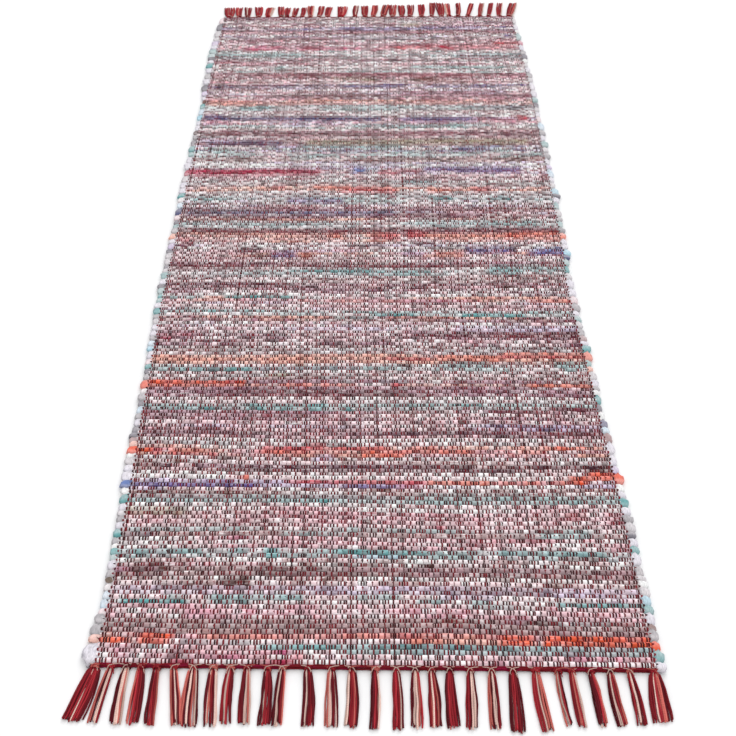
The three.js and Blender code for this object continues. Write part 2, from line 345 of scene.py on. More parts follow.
# Streaks of a stronger dye: (from row, to row, from x, to x, dye, strength).
streaks = [
    (0, 0, -260, -225, "crimson", 0.8), (0, 0, -150, -100, "crimson", 0.85),
    (1, 1, -215, -165, "magenta", 0.5), (1, 2, -262, -232, "maroon", 0.65),
    (2, 2, -130, -112, "magenta", 0.8), (1, 1, -105, -85, "red", 0.5),
    (1, 1, 235, 262, "magenta", 0.75), (2, 2, 228, 250, "magenta", 0.5), (2, 3, -45, 350, "teal", 0.6),
    (3, 3, -150, -45, "teal", 0.75), (3, 3, -285, -272, "deepTeal", 0.7),
    (3, 3, 0, 150, "deepTeal", 0.65), (3, 3, 150, 215, "deepTeal", 0.4),
    (4, 4, -245, -160, "slate", 0.45), (4, 4, -352, -305, "orange", 0.95),
    (4, 5, -298, -255, "orange", 0.9), (5, 5, -225, -150, "coral", 0.8),
    (6, 6, -225, -150, "coral", 0.55), (5, 5, -150, 40, "coral", 0.6), (5, 5, 25, 75, "red", 0.45),
    (4, 4, 40, 150, "salmon", 0.8), (4, 4, 40, 90, "coral", 0.7), (5, 5, 75, 150, "coral", 0.4),
    (4, 5, 150, 195, "orange", 0.85), (4, 5, 205, 352, "orange", 0.95),
    (6, 7, -350, 350, "taupe", 0.75), (8, 8, -350, -90, "taupe", 0.75),
    (7, 8, -245, -215, "brown", 0.25), (8, 8, -200, -175, "slate", 0.5),
    (7, 8, -90, -40, "maroon", 0.35), (8, 8, 80, 110, "brown", 0.7), (9, 9, 85, 100, "brown", 0.6),
    (8, 8, 185, 230, "umber", 0.7), (8, 8, 290, 305, "umber", 0.6),
    (9, 10, -245, -205, "magenta", 0.45), (11, 11, -110, -95, "magenta", 0.5),
    (10, 10, -160, -80, "magenta", 0.3), (10, 10, 0, 40, "magenta", 0.3),
    (12, 12, -330, -245, "teal", 0.85), (13, 13, -275, -245, "mist", 0.7),
    (12, 12, -215, -165, "deepTeal", 0.75), (13, 13, -215, -95, "teal", 0.65),
    (13, 13, -30, 30, "mist", 0.7), (12, 12, 50, 90, "teal", 0.7), (12, 12, 110, 150, "mist", 0.8),
    (11, 11, 115, 180, "mist", 0.6), (12, 12, 230, 345, "teal", 0.8), (11, 11, 180, 210, "white", 0.7),
    (14, 15, -345, 340, "lavender", 0.4), (15, 15, -290, -60, "plum", 0.35),
    (14, 15, 60, 220, "plum", 0.35), (16, 17, -202, -165, "umber", 0.8),
    (17, 17, -165, -140, "white", 0.8), (16, 16, 0, 65, "brown", 0.5), (17, 17, 155, 185, "brown", 0.6),
    (16, 16, 215, 260, "brown", 0.4), (17, 17, 20, 35, "sky", 0.6), (19, 19, -322, -302, "umber", 0.95),
    (19, 19, -292, -278, "umber", 0.9), (20, 20, -302, -288, "umber", 0.85),
    (18, 19, -215, 345, "taupe", 0.6), (19, 19, -160, -60, "umber", 0.5),
    (18, 18, -150, -20, "umber", 0.4), (20, 20, -100, -80, "brown", 0.8),
    (20, 20, -60, 20, "umber", 0.6), (20, 20, 62, 75, "umber", 0.9), (20, 20, -200, -185, "brown", 0.5),
    (21, 21, -70, -60, "brown", 0.7), (21, 22, 240, 295, "brown", 0.4),
    (21, 21, 155, 180, "brown", 0.4), (22, 23, -150, -130, "teal", 0.8),
    (23, 23, -330, -235, "teal", 0.6), (23, 23, -200, -180, "teal", 0.6),
    (22, 22, -120, -60, "mist", 0.6), (23, 23, -60, 65, "teal", 0.8), (22, 22, -30, 30, "sky", 0.6),
    (22, 22, 65, 130, "mist", 0.8), (23, 23, 160, 205, "teal", 0.5),
    (23, 23, 250, 300, "deepTeal", 0.55), (22, 22, 205, 245, "mist", 0.6),
    (26, 26, -200, -170, "magenta", 0.4), (25, 25, 110, 140, "maroon", 0.5),
    (26, 26, 150, 240, "crimson", 0.35), (26, 26, 262, 272, "white", 0.8),
    (28, 28, -345, -195, "mist", 0.6), (27, 27, -345, -300, "slate", 0.5),
    (27, 27, -80, -20, "grey", 0.5), (28, 28, 0, 110, "grey", 0.5), (29, 29, -300, -285, "wine", 0.5),
    (29, 29, 80, 92, "crimson", 0.7), (30, 30, -15, -5, "umber", 0.8),
    (31, 31, -115, -100, "wine", 0.6), (31, 32, 260, 290, "red", 0.35),
    (32, 33, -350, -262, "olive", 0.5), (31, 32, -350, -250, "brown", 0.2),
    (36, 36, -345, 40, "grey", 0.7), (36, 36, -200, -130, "mist", 0.6),
    (35, 35, -150, 345, "mist", 0.7), (35, 35, -80, -60, "teal", 0.8),
    (36, 37, 60, 260, "deepTeal", 0.35), (36, 36, 30, 345, "mist", 0.7),
    (35, 35, 270, 290, "teal", 0.4), (37, 37, -325, -285, "umber", 0.9),
    (37, 37, -262, -255, "umber", 0.8), (37, 37, -215, -200, "brown", 0.6),
    (38, 38, 5, 20, "brown", 0.85), (38, 38, 275, 340, "brown", 0.5),
    (39, 39, -350, -170, "violet", 1.0), (40, 40, -245, -200, "violet", 0.8),
    (38, 38, -350, -300, "lavender", 0.7), (39, 39, -170, -60, "lavender", 0.8),
    (39, 39, -50, 30, "violet", 0.7), (39, 39, 30, 65, "magenta", 0.6), (40, 40, -130, 70, "red", 0.7),
    (40, 40, 70, 275, "coral", 0.8), (41, 41, -188, -180, "orange", 0.9),
    (40, 40, 275, 300, "orange", 0.9), (41, 41, 275, 352, "orange", 0.9),
    (42, 42, 300, 352, "orange", 0.8), (41, 42, 238, 250, "white", 1.0),
    (42, 42, -345, 235, "white", 0.4), (43, 43, -230, -100, "plum", 0.6),
    (44, 44, -205, -100, "plum", 0.4), (43, 44, -100, 130, "plum", 0.5),
    (43, 43, 130, 200, "plum", 0.8), (44, 44, 225, 345, "plum", 0.45), (43, 43, 305, 345, "umber", 0.8),
    (45, 45, -292, -275, "brown", 0.8), (46, 46, -130, -120, "maroon", 0.8),
    (46, 46, -230, -210, "umber", 0.7), (46, 47, -90, -60, "lavender", 0.7),
    (46, 46, 60, 110, "silver", 0.8), (48, 48, -355, -325, "orange", 0.95),
    (47, 48, -325, -310, "red", 0.6), (47, 47, -305, -235, "red", 0.5),
    (48, 48, -300, -235, "coral", 0.6), (47, 47, -242, -230, "red", 0.9),
    (48, 48, -165, -95, "orange", 0.7), (49, 49, -165, 20, "red", 0.75), (48, 48, -95, 0, "coral", 0.6),
    (47, 48, -20, 45, "orange", 0.8), (48, 49, 45, 90, "orange", 0.65),
    (48, 48, 90, 145, "orange", 0.9), (48, 48, 150, 200, "crimson", 0.35),
    (48, 49, 205, 250, "coral", 0.6), (49, 49, 250, 310, "orange", 0.7), (50, 50, -95, -75, "red", 0.5),
    (50, 51, 80, 110, "white", 0.8), (50, 50, 150, 180, "brown", 0.4), (53, 53, -345, 340, "plum", 0.4),
    (53, 53, 10, 120, "plum", 0.4), (52, 52, 165, 230, "plum", 0.7), (53, 53, 230, 345, "maroon", 0.5),
    (54, 55, 145, 345, "violet", 0.3), (56, 56, 125, 135, "umber", 0.8),
    (58, 58, -345, -90, "mauve", 0.6), (58, 58, -115, -100, "brown", 0.8),
    (58, 58, -170, -160, "wine", 0.7), (59, 59, 170, 260, "maroon", 0.6),
    (60, 60, 260, 345, "maroon", 0.8), (60, 60, -330, -250, "teal", 0.5),
    (60, 60, -260, -240, "deepTeal", 0.8), (60, 60, -220, -200, "slate", 0.6),
    (60, 61, -195, -165, "teal", 0.7), (60, 60, -165, -120, "teal", 0.6),
    (60, 61, -100, -75, "teal", 0.85), (61, 61, -75, -50, "mist", 0.7),
    (60, 60, -50, -35, "teal", 0.85), (61, 61, 50, 110, "mist", 0.6), (61, 61, 115, 165, "teal", 0.65),
    (63, 63, -65, -50, "wine", 0.8), (64, 64, -265, -50, "maroon", 0.5),
    (65, 65, -240, 50, "umber", 0.5), (64, 64, -50, 60, "umber", 0.55),
    (66, 66, -345, 200, "mauve", 0.5), (67, 67, -350, -215, "orange", 0.6),
    (68, 68, -355, -200, "orange", 0.85), (67, 67, -225, -165, "coral", 0.6),
    (67, 67, -150, -30, "orange", 0.65), (67, 67, 25, 45, "red", 0.7), (67, 67, 45, 200, "salmon", 0.4),
    (67, 67, 235, 345, "coral", 0.85), (68, 68, -230, -215, "crimson", 0.7),
    (69, 69, -240, -232, "white", 0.8), (69, 69, -180, -90, "taupe", 0.7),
    (70, 70, -170, -130, "olive", 0.5), (68, 68, 0, 60, "slate", 0.5), (69, 69, 80, 130, "olive", 0.3),
    (72, 72, -340, -190, "teal", 0.7), (72, 72, -260, -240, "plum", 0.5),
    (71, 71, -190, -20, "white", 0.7), (72, 72, -190, 30, "slate", 0.7), (72, 72, -25, 25, "mist", 0.7),
    (73, 73, -125, -110, "olive", 0.7), (73, 73, 40, 60, "umber", 0.8), (73, 73, 60, 100, "white", 0.6),
    (73, 74, 100, 185, "deepTeal", 0.55), (73, 73, 185, 290, "white", 0.5),
    (74, 74, 185, 345, "slate", 0.4), (73, 74, 285, 345, "teal", 0.55),
    (75, 75, -345, -100, "salmon", 0.8), (75, 75, 15, 95, "red", 0.6), (75, 76, 95, 200, "coral", 0.75),
    (76, 76, 200, 345, "red", 0.6), (77, 77, 200, 345, "coral", 0.8),
    (82, 82, -345, -320, "crimson", 0.7), (83, 83, -345, -290, "crimson", 0.4),
    (82, 82, -75, -50, "maroon", 0.8), (81, 81, -290, -160, "plum", 0.5),
    (83, 83, 65, 345, "maroon", 0.75), (84, 84, 190, 345, "maroon", 0.6),
    (85, 86, 130, 345, "lavender", 0.6), (89, 89, -100, 120, "maroon", 0.3),
    (90, 90, 0, 68, "teal", 0.85), (89, 89, -70, 0, "mist", 0.6), (90, 90, 68, 145, "mist", 0.5),
    (90, 90, 145, 250, "teal", 0.9), (90, 90, 270, 330, "mist", 0.6), (91, 92, -330, -280, "mist", 0.7),
    (91, 91, -280, -170, "teal", 0.4), (90, 90, -170, -100, "mist", 0.5),
    (96, 96, -250, -140, "teal", 0.9), (96, 96, -345, -285, "teal", 0.6),
    (96, 96, -140, -80, "mist", 0.5), (95, 95, -60, 170, "magenta", 0.35),
    (95, 95, 260, 345, "coral", 0.5), (94, 94, 60, 130, "plum", 0.5), (97, 97, 250, 345, "slate", 0.5),
    (98, 98, 175, 190, "umber", 0.9), (100, 101, -340, -100, "plum", 0.5),
    (100, 100, 220, 235, "umber", 0.8), (105, 105, -300, -190, "silver", 0.8),
    (105, 105, -230, -150, "mist", 0.5), (106, 106, -145, 100, "teal", 0.7),
    (107, 107, -60, 0, "teal", 0.4), (106, 107, 200, 262, "teal", 0.65),
    (107, 107, 262, 345, "teal", 0.5), (107, 108, -345, -200, "maroon", 0.5),
    (108, 108, -200, 180, "maroon", 0.45), (112, 112, -260, -170, "brown", 0.5),
    (112, 113, -180, -135, "violet", 0.6), (112, 112, -132, -105, "brown", 0.85),
    (112, 113, -128, -112, "coral", 0.4), (113, 113, 50, 90, "violet", 0.5),
    (113, 113, 110, 160, "coral", 0.75), (114, 114, 165, 250, "violet", 0.8),
    (113, 113, 275, 350, "violet", 0.9), (114, 114, 290, 352, "blue", 0.7),
    (116, 116, -40, 20, "umber", 0.6), (117, 118, -345, -320, "crimson", 0.4),
    (120, 120, -85, -48, "coral", 0.85), (119, 120, -5, 50, "red", 0.65),
    (120, 121, 60, 95, "red", 0.75), (120, 120, 95, 240, "coral", 0.65),
    (120, 121, 240, 352, "orange", 0.6), (119, 121, -345, -90, "salmon", 0.3),
    (122, 122, -345, 200, "maroon", 0.65), (123, 123, 180, 352, "maroon", 0.75),
    (125, 125, -345, -20, "mist", 0.5), (125, 126, 80, 345, "mist", 0.5),
    (126, 126, 225, 300, "teal", 0.4), (128, 128, 0, 200, "maroon", 0.6),
    (127, 127, -345, -100, "maroon", 0.35), (130, 130, -345, 40, "navy", 0.65),
    (131, 131, -345, -180, "slate", 0.5), (131, 131, 60, 250, "maroon", 0.45),
    (132, 132, -220, -100, "wine", 0.5), (132, 132, 230, 345, "brown", 0.5),
    (135, 135, -160, -55, "violet", 0.6), (136, 136, -335, -260, "teal", 0.45),
    (135, 135, -55, 60, "mist", 0.6), (136, 136, 105, 150, "deepTeal", 0.8),
    (136, 136, 212, 265, "deepTeal", 0.7), (137, 137, 32, 42, "wine", 0.8),
    (140, 140, -60, 45, "red", 0.8), (141, 141, -190, -165, "crimson", 0.5),
    (141, 141, -120, -40, "coral", 0.6), (140, 140, 105, 150, "coral", 0.6),
    (140, 140, 190, 225, "red", 0.65), (144, 144, 60, 130, "deepTeal", 0.55),
    (144, 144, -165, -140, "umber", 0.5), (148, 148, -355, -100, "crimson", 0.9),
    (149, 149, -355, -120, "crimson", 0.7), (148, 148, 12, 50, "red", 0.6),
    (149, 149, 50, 105, "wine", 0.7), (149, 150, -38, -10, "blue", 0.75),
    (150, 150, -10, 12, "sky", 0.6), (150, 150, 100, 165, "violet", 0.9),
    (149, 150, 165, 290, "violet", 0.7), (151, 151, -100, 60, "lavender", 0.6),
    (154, 154, -60, 20, "brown", 0.7), (155, 155, 20, 345, "brown", 0.45),
    (156, 156, -160, -100, "mist", 0.85), (157, 157, 170, 200, "mist", 0.5),
    (159, 159, -110, -20, "violet", 0.4), (160, 160, 160, 240, "violet", 0.5),
    (161, 161, -150, 60, "mist", 0.8), (162, 162, -345, -210, "maroon", 0.7),
    (163, 163, -330, -180, "navy", 0.75), (164, 164, -345, -280, "lavender", 0.6),
    (163, 164, -130, 315, "olive", 0.7), (167, 168, -345, 345, "maroon", 0.5),
    (172, 172, -40, 250, "teal", 0.55), (172, 172, 160, 190, "mist", 0.8),
    (173, 173, -180, -130, "lavender", 0.8), (174, 174, -345, -310, "magenta", 0.5),
    (176, 176, -345, 20, "navy", 0.9), (177, 177, -345, -300, "violet", 0.6),
    (175, 175, 60, 225, "violet", 0.7), (176, 176, 80, 210, "navy", 0.5),
    (175, 175, 220, 235, "crimson", 0.7), (176, 176, 303, 325, "red", 0.9),
    (175, 175, 240, 300, "magenta", 0.35), (182, 182, -275, -205, "teal", 0.6),
    (181, 181, -100, 60, "mist", 0.6), (182, 182, 190, 345, "slate", 0.65),
    (184, 184, -345, -240, "salmon", 0.4), (185, 185, -345, 345, "salmon", 0.4),
    (185, 186, -345, -240, "coral", 0.3), (186, 186, -140, -80, "salmon", 0.6),
    (186, 186, 100, 200, "wine", 0.3), (186, 187, 225, 330, "rose", 0.6),
    (189, 189, -220, 20, "umber", 0.6), (189, 189, 230, 345, "maroon", 0.7),
    (190, 190, 60, 230, "mauve", 0.7), (194, 194, -345, 50, "navy", 0.5),
    (195, 195, -345, -200, "maroon", 0.4), (198, 199, 92, 150, "brown", 0.7),
    (197, 198, 150, 230, "brown", 0.4), (199, 199, -90, -20, "olive", 0.5),
    (198, 198, -20, 10, "olive", 0.6), (201, 201, -220, 345, "wine", 0.5),
    (202, 202, -345, 0, "maroon", 0.4), (205, 206, -212, -190, "mist", 0.9),
    (205, 205, -190, -160, "silver", 0.9), (204, 204, -205, -160, "umber", 0.6),
    (206, 206, 90, 300, "mist", 0.85), (209, 209, -345, -290, "wine", 0.6),
    (209, 209, -200, -150, "maroon", 0.5), (212, 212, -120, -50, "umber", 0.5),
    (211, 211, 40, 60, "plum", 0.7), (213, 214, -345, -150, "mist", 0.8),
    (212, 212, -345, -280, "slate", 0.5), (213, 213, 135, 200, "teal", 0.55),
    (212, 213, 200, 352, "slate", 0.5), (217, 217, -285, -250, "crimson", 0.7),
    (218, 218, -285, -20, "magenta", 0.4), (218, 218, -150, -118, "crimson", 0.9),
    (219, 219, -255, -240, "magenta", 0.6), (218, 219, 55, 95, "red", 0.6),
    (219, 219, 155, 180, "crimson", 0.9), (218, 219, 95, 330, "red", 0.4),
    (221, 221, 280, 350, "red", 0.7), (220, 220, 70, 230, "wine", 0.4),
    (224, 224, -260, -90, "wine", 0.45), (225, 225, -60, 150, "slate", 0.6),
    (226, 226, 310, 330, "violet", 0.6), (229, 229, -100, 345, "maroon", 0.5),
    (231, 231, -60, 60, "violet", 0.5), (232, 232, 120, 260, "violet", 0.5),
    (230, 230, -345, -200, "maroon", 0.4), (234, 234, 70, 115, "olive", 0.6),
    (235, 235, 150, 345, "mauve", 0.5), (238, 239, -345, -175, "maroon", 0.3),
]


def mixed(a, b, share):
    share = np.asarray(share)[..., None]
    return a * (1 - share) + b * share


dyeForm = {
    # how a dye comes and goes along a rag: over what length, its middle share, how far that swings
    "second": (85, 0.5, 1.3),
    "third": (46, -0.5, 1.9),
    "thirdMost": 0.8,
    "patch": (11, -0.6, 2.4),
    "whiteFleck": (30, 0.5, 1.2),
    "streakFleck": (0.6, 0.25, 0.8),  # how much of its dye and of white a streak's fleck has, and the most
    "streak": (17, 0.25),  # over what length and how far a streak's strength changes
    "streakEnd": 9,  # over how much a streak fades in and out
    "streakEndUneven": 5,
    "spreadFrom": 100,  # past this row a streak also tints the rows before and after it
    "spreadShare": 0.5,
    "most": 0.9,  # no rag or yarn is brighter than this
}


def streaksOfRows():
    # the streaks that touch each row, in the order of the list
    found = {}
    for first, last, start, end, dye, strength in streaks:
        spread = 1 if first > dyeForm["spreadFrom"] else 0
        for row in range(first - spread, last + 1 + spread):
            share = 1 if first <= row <= last else dyeForm["spreadShare"]
            found.setdefault(row, []).append((start, end, dye, strength * share))
    return found


streaksByRow = streaksOfRows()


def comeAndGo(x, how, salt):
    length, middle, swing = how
    return eased(middle + swing * drift(x, length, salt))


def rowColours(row, x):
    # the rag's colour along a row, and the colour of the flecks in it
    form = dyeForm
    names, patch, patchShare = [ground[1:] for ground in grounds if row >= ground[0]][-1]
    names = names.split()
    turn = int((uneven(row, 11) + 1) * 2) % len(names)
    main, second, third = (dyes[names[(turn + step) % len(names)]] for step in range(3))
    colour = mixed(main, second, comeAndGo(x, form["second"], row + 300))
    colour = mixed(colour, third, form["thirdMost"] * comeAndGo(x, form["third"], row + 600))
    # the rags' own paleness, with painted light added towards the far end
    pale = np.interp(row, *palenessAndFarLight)
    colour = mixed(colour, dyes["white"], pale)
    patched = comeAndGo(x, form["patch"], row + 1200)
    colour = mixed(colour, dyes[patch], patchShare * (1 + pale) * patched)
    fleck = mixed(second, dyes["white"], comeAndGo(x, form["whiteFleck"], row + 900))
    fleckDye, fleckWhite, fleckMost = form["streakFleck"]
    length, swing = form["streak"]
    for start, end, dye, strength in streaksByRow.get(row, []):
        soft = min(form["streakEnd"] + form["streakEndUneven"] * uneven(row, start), (end - start) / 3)
        there = eased((x - start) / soft + 0.5) * eased((end - x) / soft + 0.5)
        there = there * strength * (1 + swing * drift(x, length, start + row))
        colour = mixed(colour, dyes[dye], np.clip(there, 0, 1))
        flecked = dyes[dye] * fleckDye + dyes["white"] * fleckWhite
        fleck = mixed(fleck, flecked, np.clip(there, 0, fleckMost))
    return colour, fleck


# The sweep: a tube round every path, as wide and high as its points say, with the path's colours.


def makeSweepTree():
    tree, given, result = makeGroup(
        "sweepStrands", "GeometryNodeTree",
        [("Paths", "NodeSocketGeometry", None), ("Sides", "NodeSocketInt", 6),
         ("Turn", "NodeSocketFloat", 0.0), ("Crumple", "NodeSocketFloat", 0.0),
         ("Crease Length", "NodeSocketFloat", 0.02), ("Finish", "NodeSocketMaterial", None)],
        [("Strands", "NodeSocketGeometry")],
    )
    curves = put(tree, "GeometryNodeMeshToCurve", {"Mesh": given.outputs["Paths"]})
    upright = put(tree, "GeometryNodeSetCurveNormal", {"Curve": curves.outputs["Curve"]}, mode="Z_UP")
    place = put(tree, "GeometryNodeInputPosition")
    length = put(tree, "GeometryNodeSplineParameter")
    middle = put(tree, "GeometryNodeStoreNamedAttribute", {
        "Geometry": upright.outputs["Curve"], "Name": "middle", "Value": place.outputs["Position"],
    }, data_type="FLOAT_VECTOR", domain="POINT")
    along = put(tree, "GeometryNodeStoreNamedAttribute", {
        "Geometry": middle.outputs["Geometry"], "Name": "along", "Value": length.outputs["Length"],
    }, data_type="FLOAT", domain="POINT")
    ring = put(tree, "GeometryNodeCurvePrimitiveCircle", {
        "Resolution": given.outputs["Sides"], "Radius": 1.0,
    }, mode="RADIUS")
    turned = put(tree, "ShaderNodeCombineXYZ", {"Z": given.outputs["Turn"]})
    turnedRing = put(tree, "GeometryNodeTransform", {
        "Geometry": ring.outputs["Curve"], "Rotation": turned.outputs[0],
    })
    number = put(tree, "GeometryNodeInputIndex")
    share = calc(tree, "DIVIDE", number.outputs["Index"], given.outputs["Sides"])
    around = put(tree, "GeometryNodeStoreNamedAttribute", {
        "Geometry": turnedRing.outputs["Geometry"], "Name": "around", "Value": share,
    }, data_type="FLOAT", domain="POINT")
    tubes = put(tree, "GeometryNodeCurveToMesh", {
        "Curve": along.outputs["Geometry"], "Profile Curve": around.outputs["Geometry"], "Fill Caps": True,
    })
    read = {}
    for kind, names in (("FLOAT_VECTOR", ("middle", "girth")), ("FLOAT", ("around", "along", "strand"))):
        for name in names:
            stored = put(tree, "GeometryNodeInputNamedAttribute", {"Name": name}, data_type=kind)
            read[name] = stored.outputs["Attribute"]
    out = vectorCalc(tree, "SUBTRACT", place.outputs["Position"], read["middle"])
    angle = calc(tree, "MULTIPLY", read["around"], 2 * math.pi)
    crease = put(tree, "ShaderNodeTexNoise", {
        "Vector": put(tree, "ShaderNodeCombineXYZ", {
            "X": calc(tree, "MULTIPLY_ADD", read["strand"], 3.7, calc(tree, "COSINE", angle)),
            "Y": calc(tree, "SINE", angle),
            "Z": calc(tree, "DIVIDE", read["along"], given.outputs["Crease Length"]),
        }).outputs[0],
        "Scale": 1.3, "Detail": 1.0,
    })
    creased = calc(tree, "SUBTRACT", crease.outputs["Fac"], 0.5)
    swell = calc(tree, "MULTIPLY_ADD", creased, given.outputs["Crumple"], 1.0)
    sized = scaled(tree, vectorCalc(tree, "MULTIPLY", out, read["girth"]), swell)
    shaped = put(tree, "GeometryNodeSetPosition", {
        "Geometry": tubes.outputs["Mesh"],
        "Position": vectorCalc(tree, "ADD", read["middle"], sized),
    })
    smooth = put(tree, "GeometryNodeSetShadeSmooth", {
        "Geometry": shaped.outputs["Geometry"], "Shade Smooth": True,
    })
    real = put(tree, "GeometryNodeRealizeInstances", {"Geometry": smooth.outputs["Geometry"]})
    dressed = put(tree, "GeometryNodeSetMaterial", {
        "Geometry": real.outputs["Geometry"], "Material": given.outputs["Finish"],
    })
    tree.links.new(dressed.outputs["Geometry"], result.inputs["Strands"])
    return tree


sweepTree = makeSweepTree()


def evaluated(source, tree, given):
    # the plain mesh that a tree of nodes makes of an object, which is used up
    modifier = source.modifiers.new("shape", "NODES")
    modifier.node_group = tree
    sockets = {item.name: item.identifier for item in tree.interface.items_tree if item.in_out == "INPUT"}
    for label, value in given.items():
        modifier[sockets[label]] = value
    mesh = bpy.data.meshes.new_from_object(source.evaluated_get(bpy.context.evaluated_depsgraph_get()))
    source.modifiers.remove(modifier)
    bpy.data.objects.remove(source)
    return mesh


# how a strand's section stands: on a corner, or with a corner on top
footDown, ridgeUp = -math.pi / 2, math.pi / 2


def strand(points, width, height, dye, fleck=None):
    # one path: its points, the half width and half height of its section, and its colours
    points = np.asarray(points, float)
    count = len(points)
    width, height = (np.broadcast_to(np.asarray(v, float), count) for v in (width, height))
    dye = np.broadcast_to(np.asarray(dye, float), (count, 3))
    fleck = dye if fleck is None else np.broadcast_to(np.asarray(fleck, float), (count, 3))
    return {"points": points, "girth": np.stack([width, width, height], 1), "dye": dye, "fleck": fleck}


def store(mesh, name, kind, key, found):
    # an attribute with a value for each point
    mesh.attributes.new(name, kind, "POINT").data.foreach_set(key, found.astype(np.float32).ravel())


def storeColour(mesh, name, colours):
    store(mesh, name, "FLOAT_COLOR", "color", np.concatenate([colours, np.ones((len(colours), 1))], 1))


def pathObject(name, strands):
    # the mesh of points and edges that the sweep follows
    counts = np.array([len(s["points"]) for s in strands])
    ends = np.cumsum(counts)
    total = int(ends[-1])
    starts = np.setdiff1d(np.arange(total), ends - 1)
    mesh = bpy.data.meshes.new(name)
    mesh.vertices.add(total)
    mesh.edges.add(len(starts))
    points = (np.concatenate([s["points"] for s in strands]) + toFrame) * mm
    mesh.vertices.foreach_set("co", points.astype(np.float32).ravel())
    mesh.edges.foreach_set("vertices", np.stack([starts, starts + 1], 1).astype(np.int32).ravel())
    store(mesh, "girth", "FLOAT_VECTOR", "vector", np.concatenate([s["girth"] for s in strands]) * mm)
    for key in ("dye", "fleck"):
        storeColour(mesh, key, np.concatenate([s[key] for s in strands]))
    store(mesh, "strand", "FLOAT", "value", np.repeat(np.arange(len(strands)), counts))
    source = bpy.data.objects.new(name, mesh)
    scene.collection.objects.link(source)
    return source


def readBack(items, key, kind=np.float32, width=1):
    # one value, or width of them, from each item of a mesh
    found = np.empty(len(items) * width, kind)
    items.foreach_get(key, found)
    return found.reshape(-1, width) if width > 1 else found


def mapStrands(mesh, count, acrossRug=None):
    # Two maps: "yarn" follows each strand, and "OFBake" sets all strands side by side on one sheet.
    corners = readBack(mesh.loops, "vertex_index", np.int32)
    starts = readBack(mesh.polygons, "loop_start", np.int32)
    totals = readBack(mesh.polygons, "loop_total", np.int32)
    around, along, order = (readBack(mesh.attributes[name].data, "value")
                            for name in ("around", "along", "strand"))
    around = around[corners]
    spread = np.maximum.reduceat(around, starts) - np.minimum.reduceat(around, starts)
    wraps = np.repeat((spread > 0.5) & (totals == 4), totals)
    around = around + (wraps & (around < 0.25))
    longest = np.zeros(count)
    np.maximum.at(longest, order.astype(int), along)
    if acrossRug is None:
        sheet = np.stack([(order[corners] + 0.04 + 0.92 * around) / count,
                          0.01 + 0.98 * (along / np.maximum(longest[order.astype(int)], 1e-9))[corners]], 1)
    else:
        place = readBack(mesh.vertices, "co", width=3)
        low, high = acrossRug
        # the two faces on top get most of the sheet, and those beneath little
        unrolled = np.interp(around, [0, 0.2, 0.4, 0.6, 0.8, 1], [0.02, 0.1, 0.35, 0.65, 0.9, 0.98])
        sheet = np.stack([(place[corners, 0] - low) / (high - low),
                          (order[corners] + unrolled) / count], 1)
    yarn = np.stack([around, along[corners]], 1)
    for name, flat in (("yarn", yarn), ("OFBake", sheet)):
        layer = mesh.uv_layers.new(name=name, do_init=False)
        layer.uv.foreach_set("vector", flat.astype(np.float32).ravel())
    for name in ("middle", "girth", "around", "along", "strand"):
        mesh.attributes.remove(mesh.attributes[name])


def sweep(name, strands, sides, finish, turn=footDown, crumple=0.0, acrossRug=None):
    # one piece of many strands
    given = {"Sides": sides, "Turn": turn, "Crumple": crumple, "Crease Length": lobeForm["crease"] * mm,
             "Finish": finish}
    mesh = evaluated(pathObject(name + "_paths", strands), sweepTree, given)
    mapStrands(mesh, len(strands), acrossRug)
    mesh.name = name
    piece = bpy.data.objects.new(name, mesh)
    scene.collection.objects.link(piece)
    return piece


# Finishes. The cotton group is shared: soft streaks, lint and creases at a fibre's scale.


def makeCottonGroup():
    tree, given, result = makeGroup(
        "cottonFibre", "ShaderNodeTree",
        [("Vector", "NodeSocketVector", None), ("Stretch", "NodeSocketVector", (1, 1, 1)),
         ("Fineness", "NodeSocketFloat", 700), ("Contrast", "NodeSocketFloat", 0.2)],
        [("Shade", "NodeSocketFloat"), ("Fleck", "NodeSocketFloat"), ("Height", "NodeSocketFloat"),
         ("Rough", "NodeSocketFloat")],
    )
    drawn = vectorCalc(tree, "MULTIPLY", given.outputs["Vector"], given.outputs["Stretch"])
    fibre = put(tree, "ShaderNodeTexNoise", {
        "Vector": drawn, "Scale": given.outputs["Fineness"], "Detail": 4.0, "Roughness": 0.65,
    })
    fold = put(tree, "ShaderNodeTexNoise", {
        "Vector": drawn, "Scale": calc(tree, "MULTIPLY", given.outputs["Fineness"], 0.3), "Detail": 2.0,
    })
    both = calc(tree, "ADD", fibre.outputs["Fac"], fold.outputs["Fac"])
    # the shade follows the relief, darker where it is low: the fibres' uneven tone, and painted shade in the
    # creases, strong where the contrast is high
    shade = calc(tree, "MULTIPLY_ADD", calc(tree, "SUBTRACT", both, 1.0), given.outputs["Contrast"], 1.0)
    tree.links.new(shade, result.inputs["Shade"])
    fleck = put(tree, "ShaderNodeMapRange", {
        "Value": fold.outputs["Fac"], "From Min": 0.5, "From Max": 0.66, "To Min": 0.0, "To Max": 1.0,
    })
    tree.links.new(fleck.outputs["Result"], result.inputs["Fleck"])
    raised = calc(tree, "ADD", calc(tree, "MULTIPLY", fibre.outputs["Fac"], 0.45), fold.outputs["Fac"])
    tree.links.new(raised, result.inputs["Height"])
    rough = calc(tree, "ADD", calc(tree, "MULTIPLY", fibre.outputs["Fac"], 0.16), 0.8)
    tree.links.new(rough, result.inputs["Rough"])
    return tree


cottonFibre = makeCottonGroup()


def newMaterial(name):
    material = bpy.data.materials.new(name)
    material.use_nodes = True
    tree = material.node_tree
    shader = next(node for node in tree.nodes if node.type == "BSDF_PRINCIPLED")
    return material, tree, shader


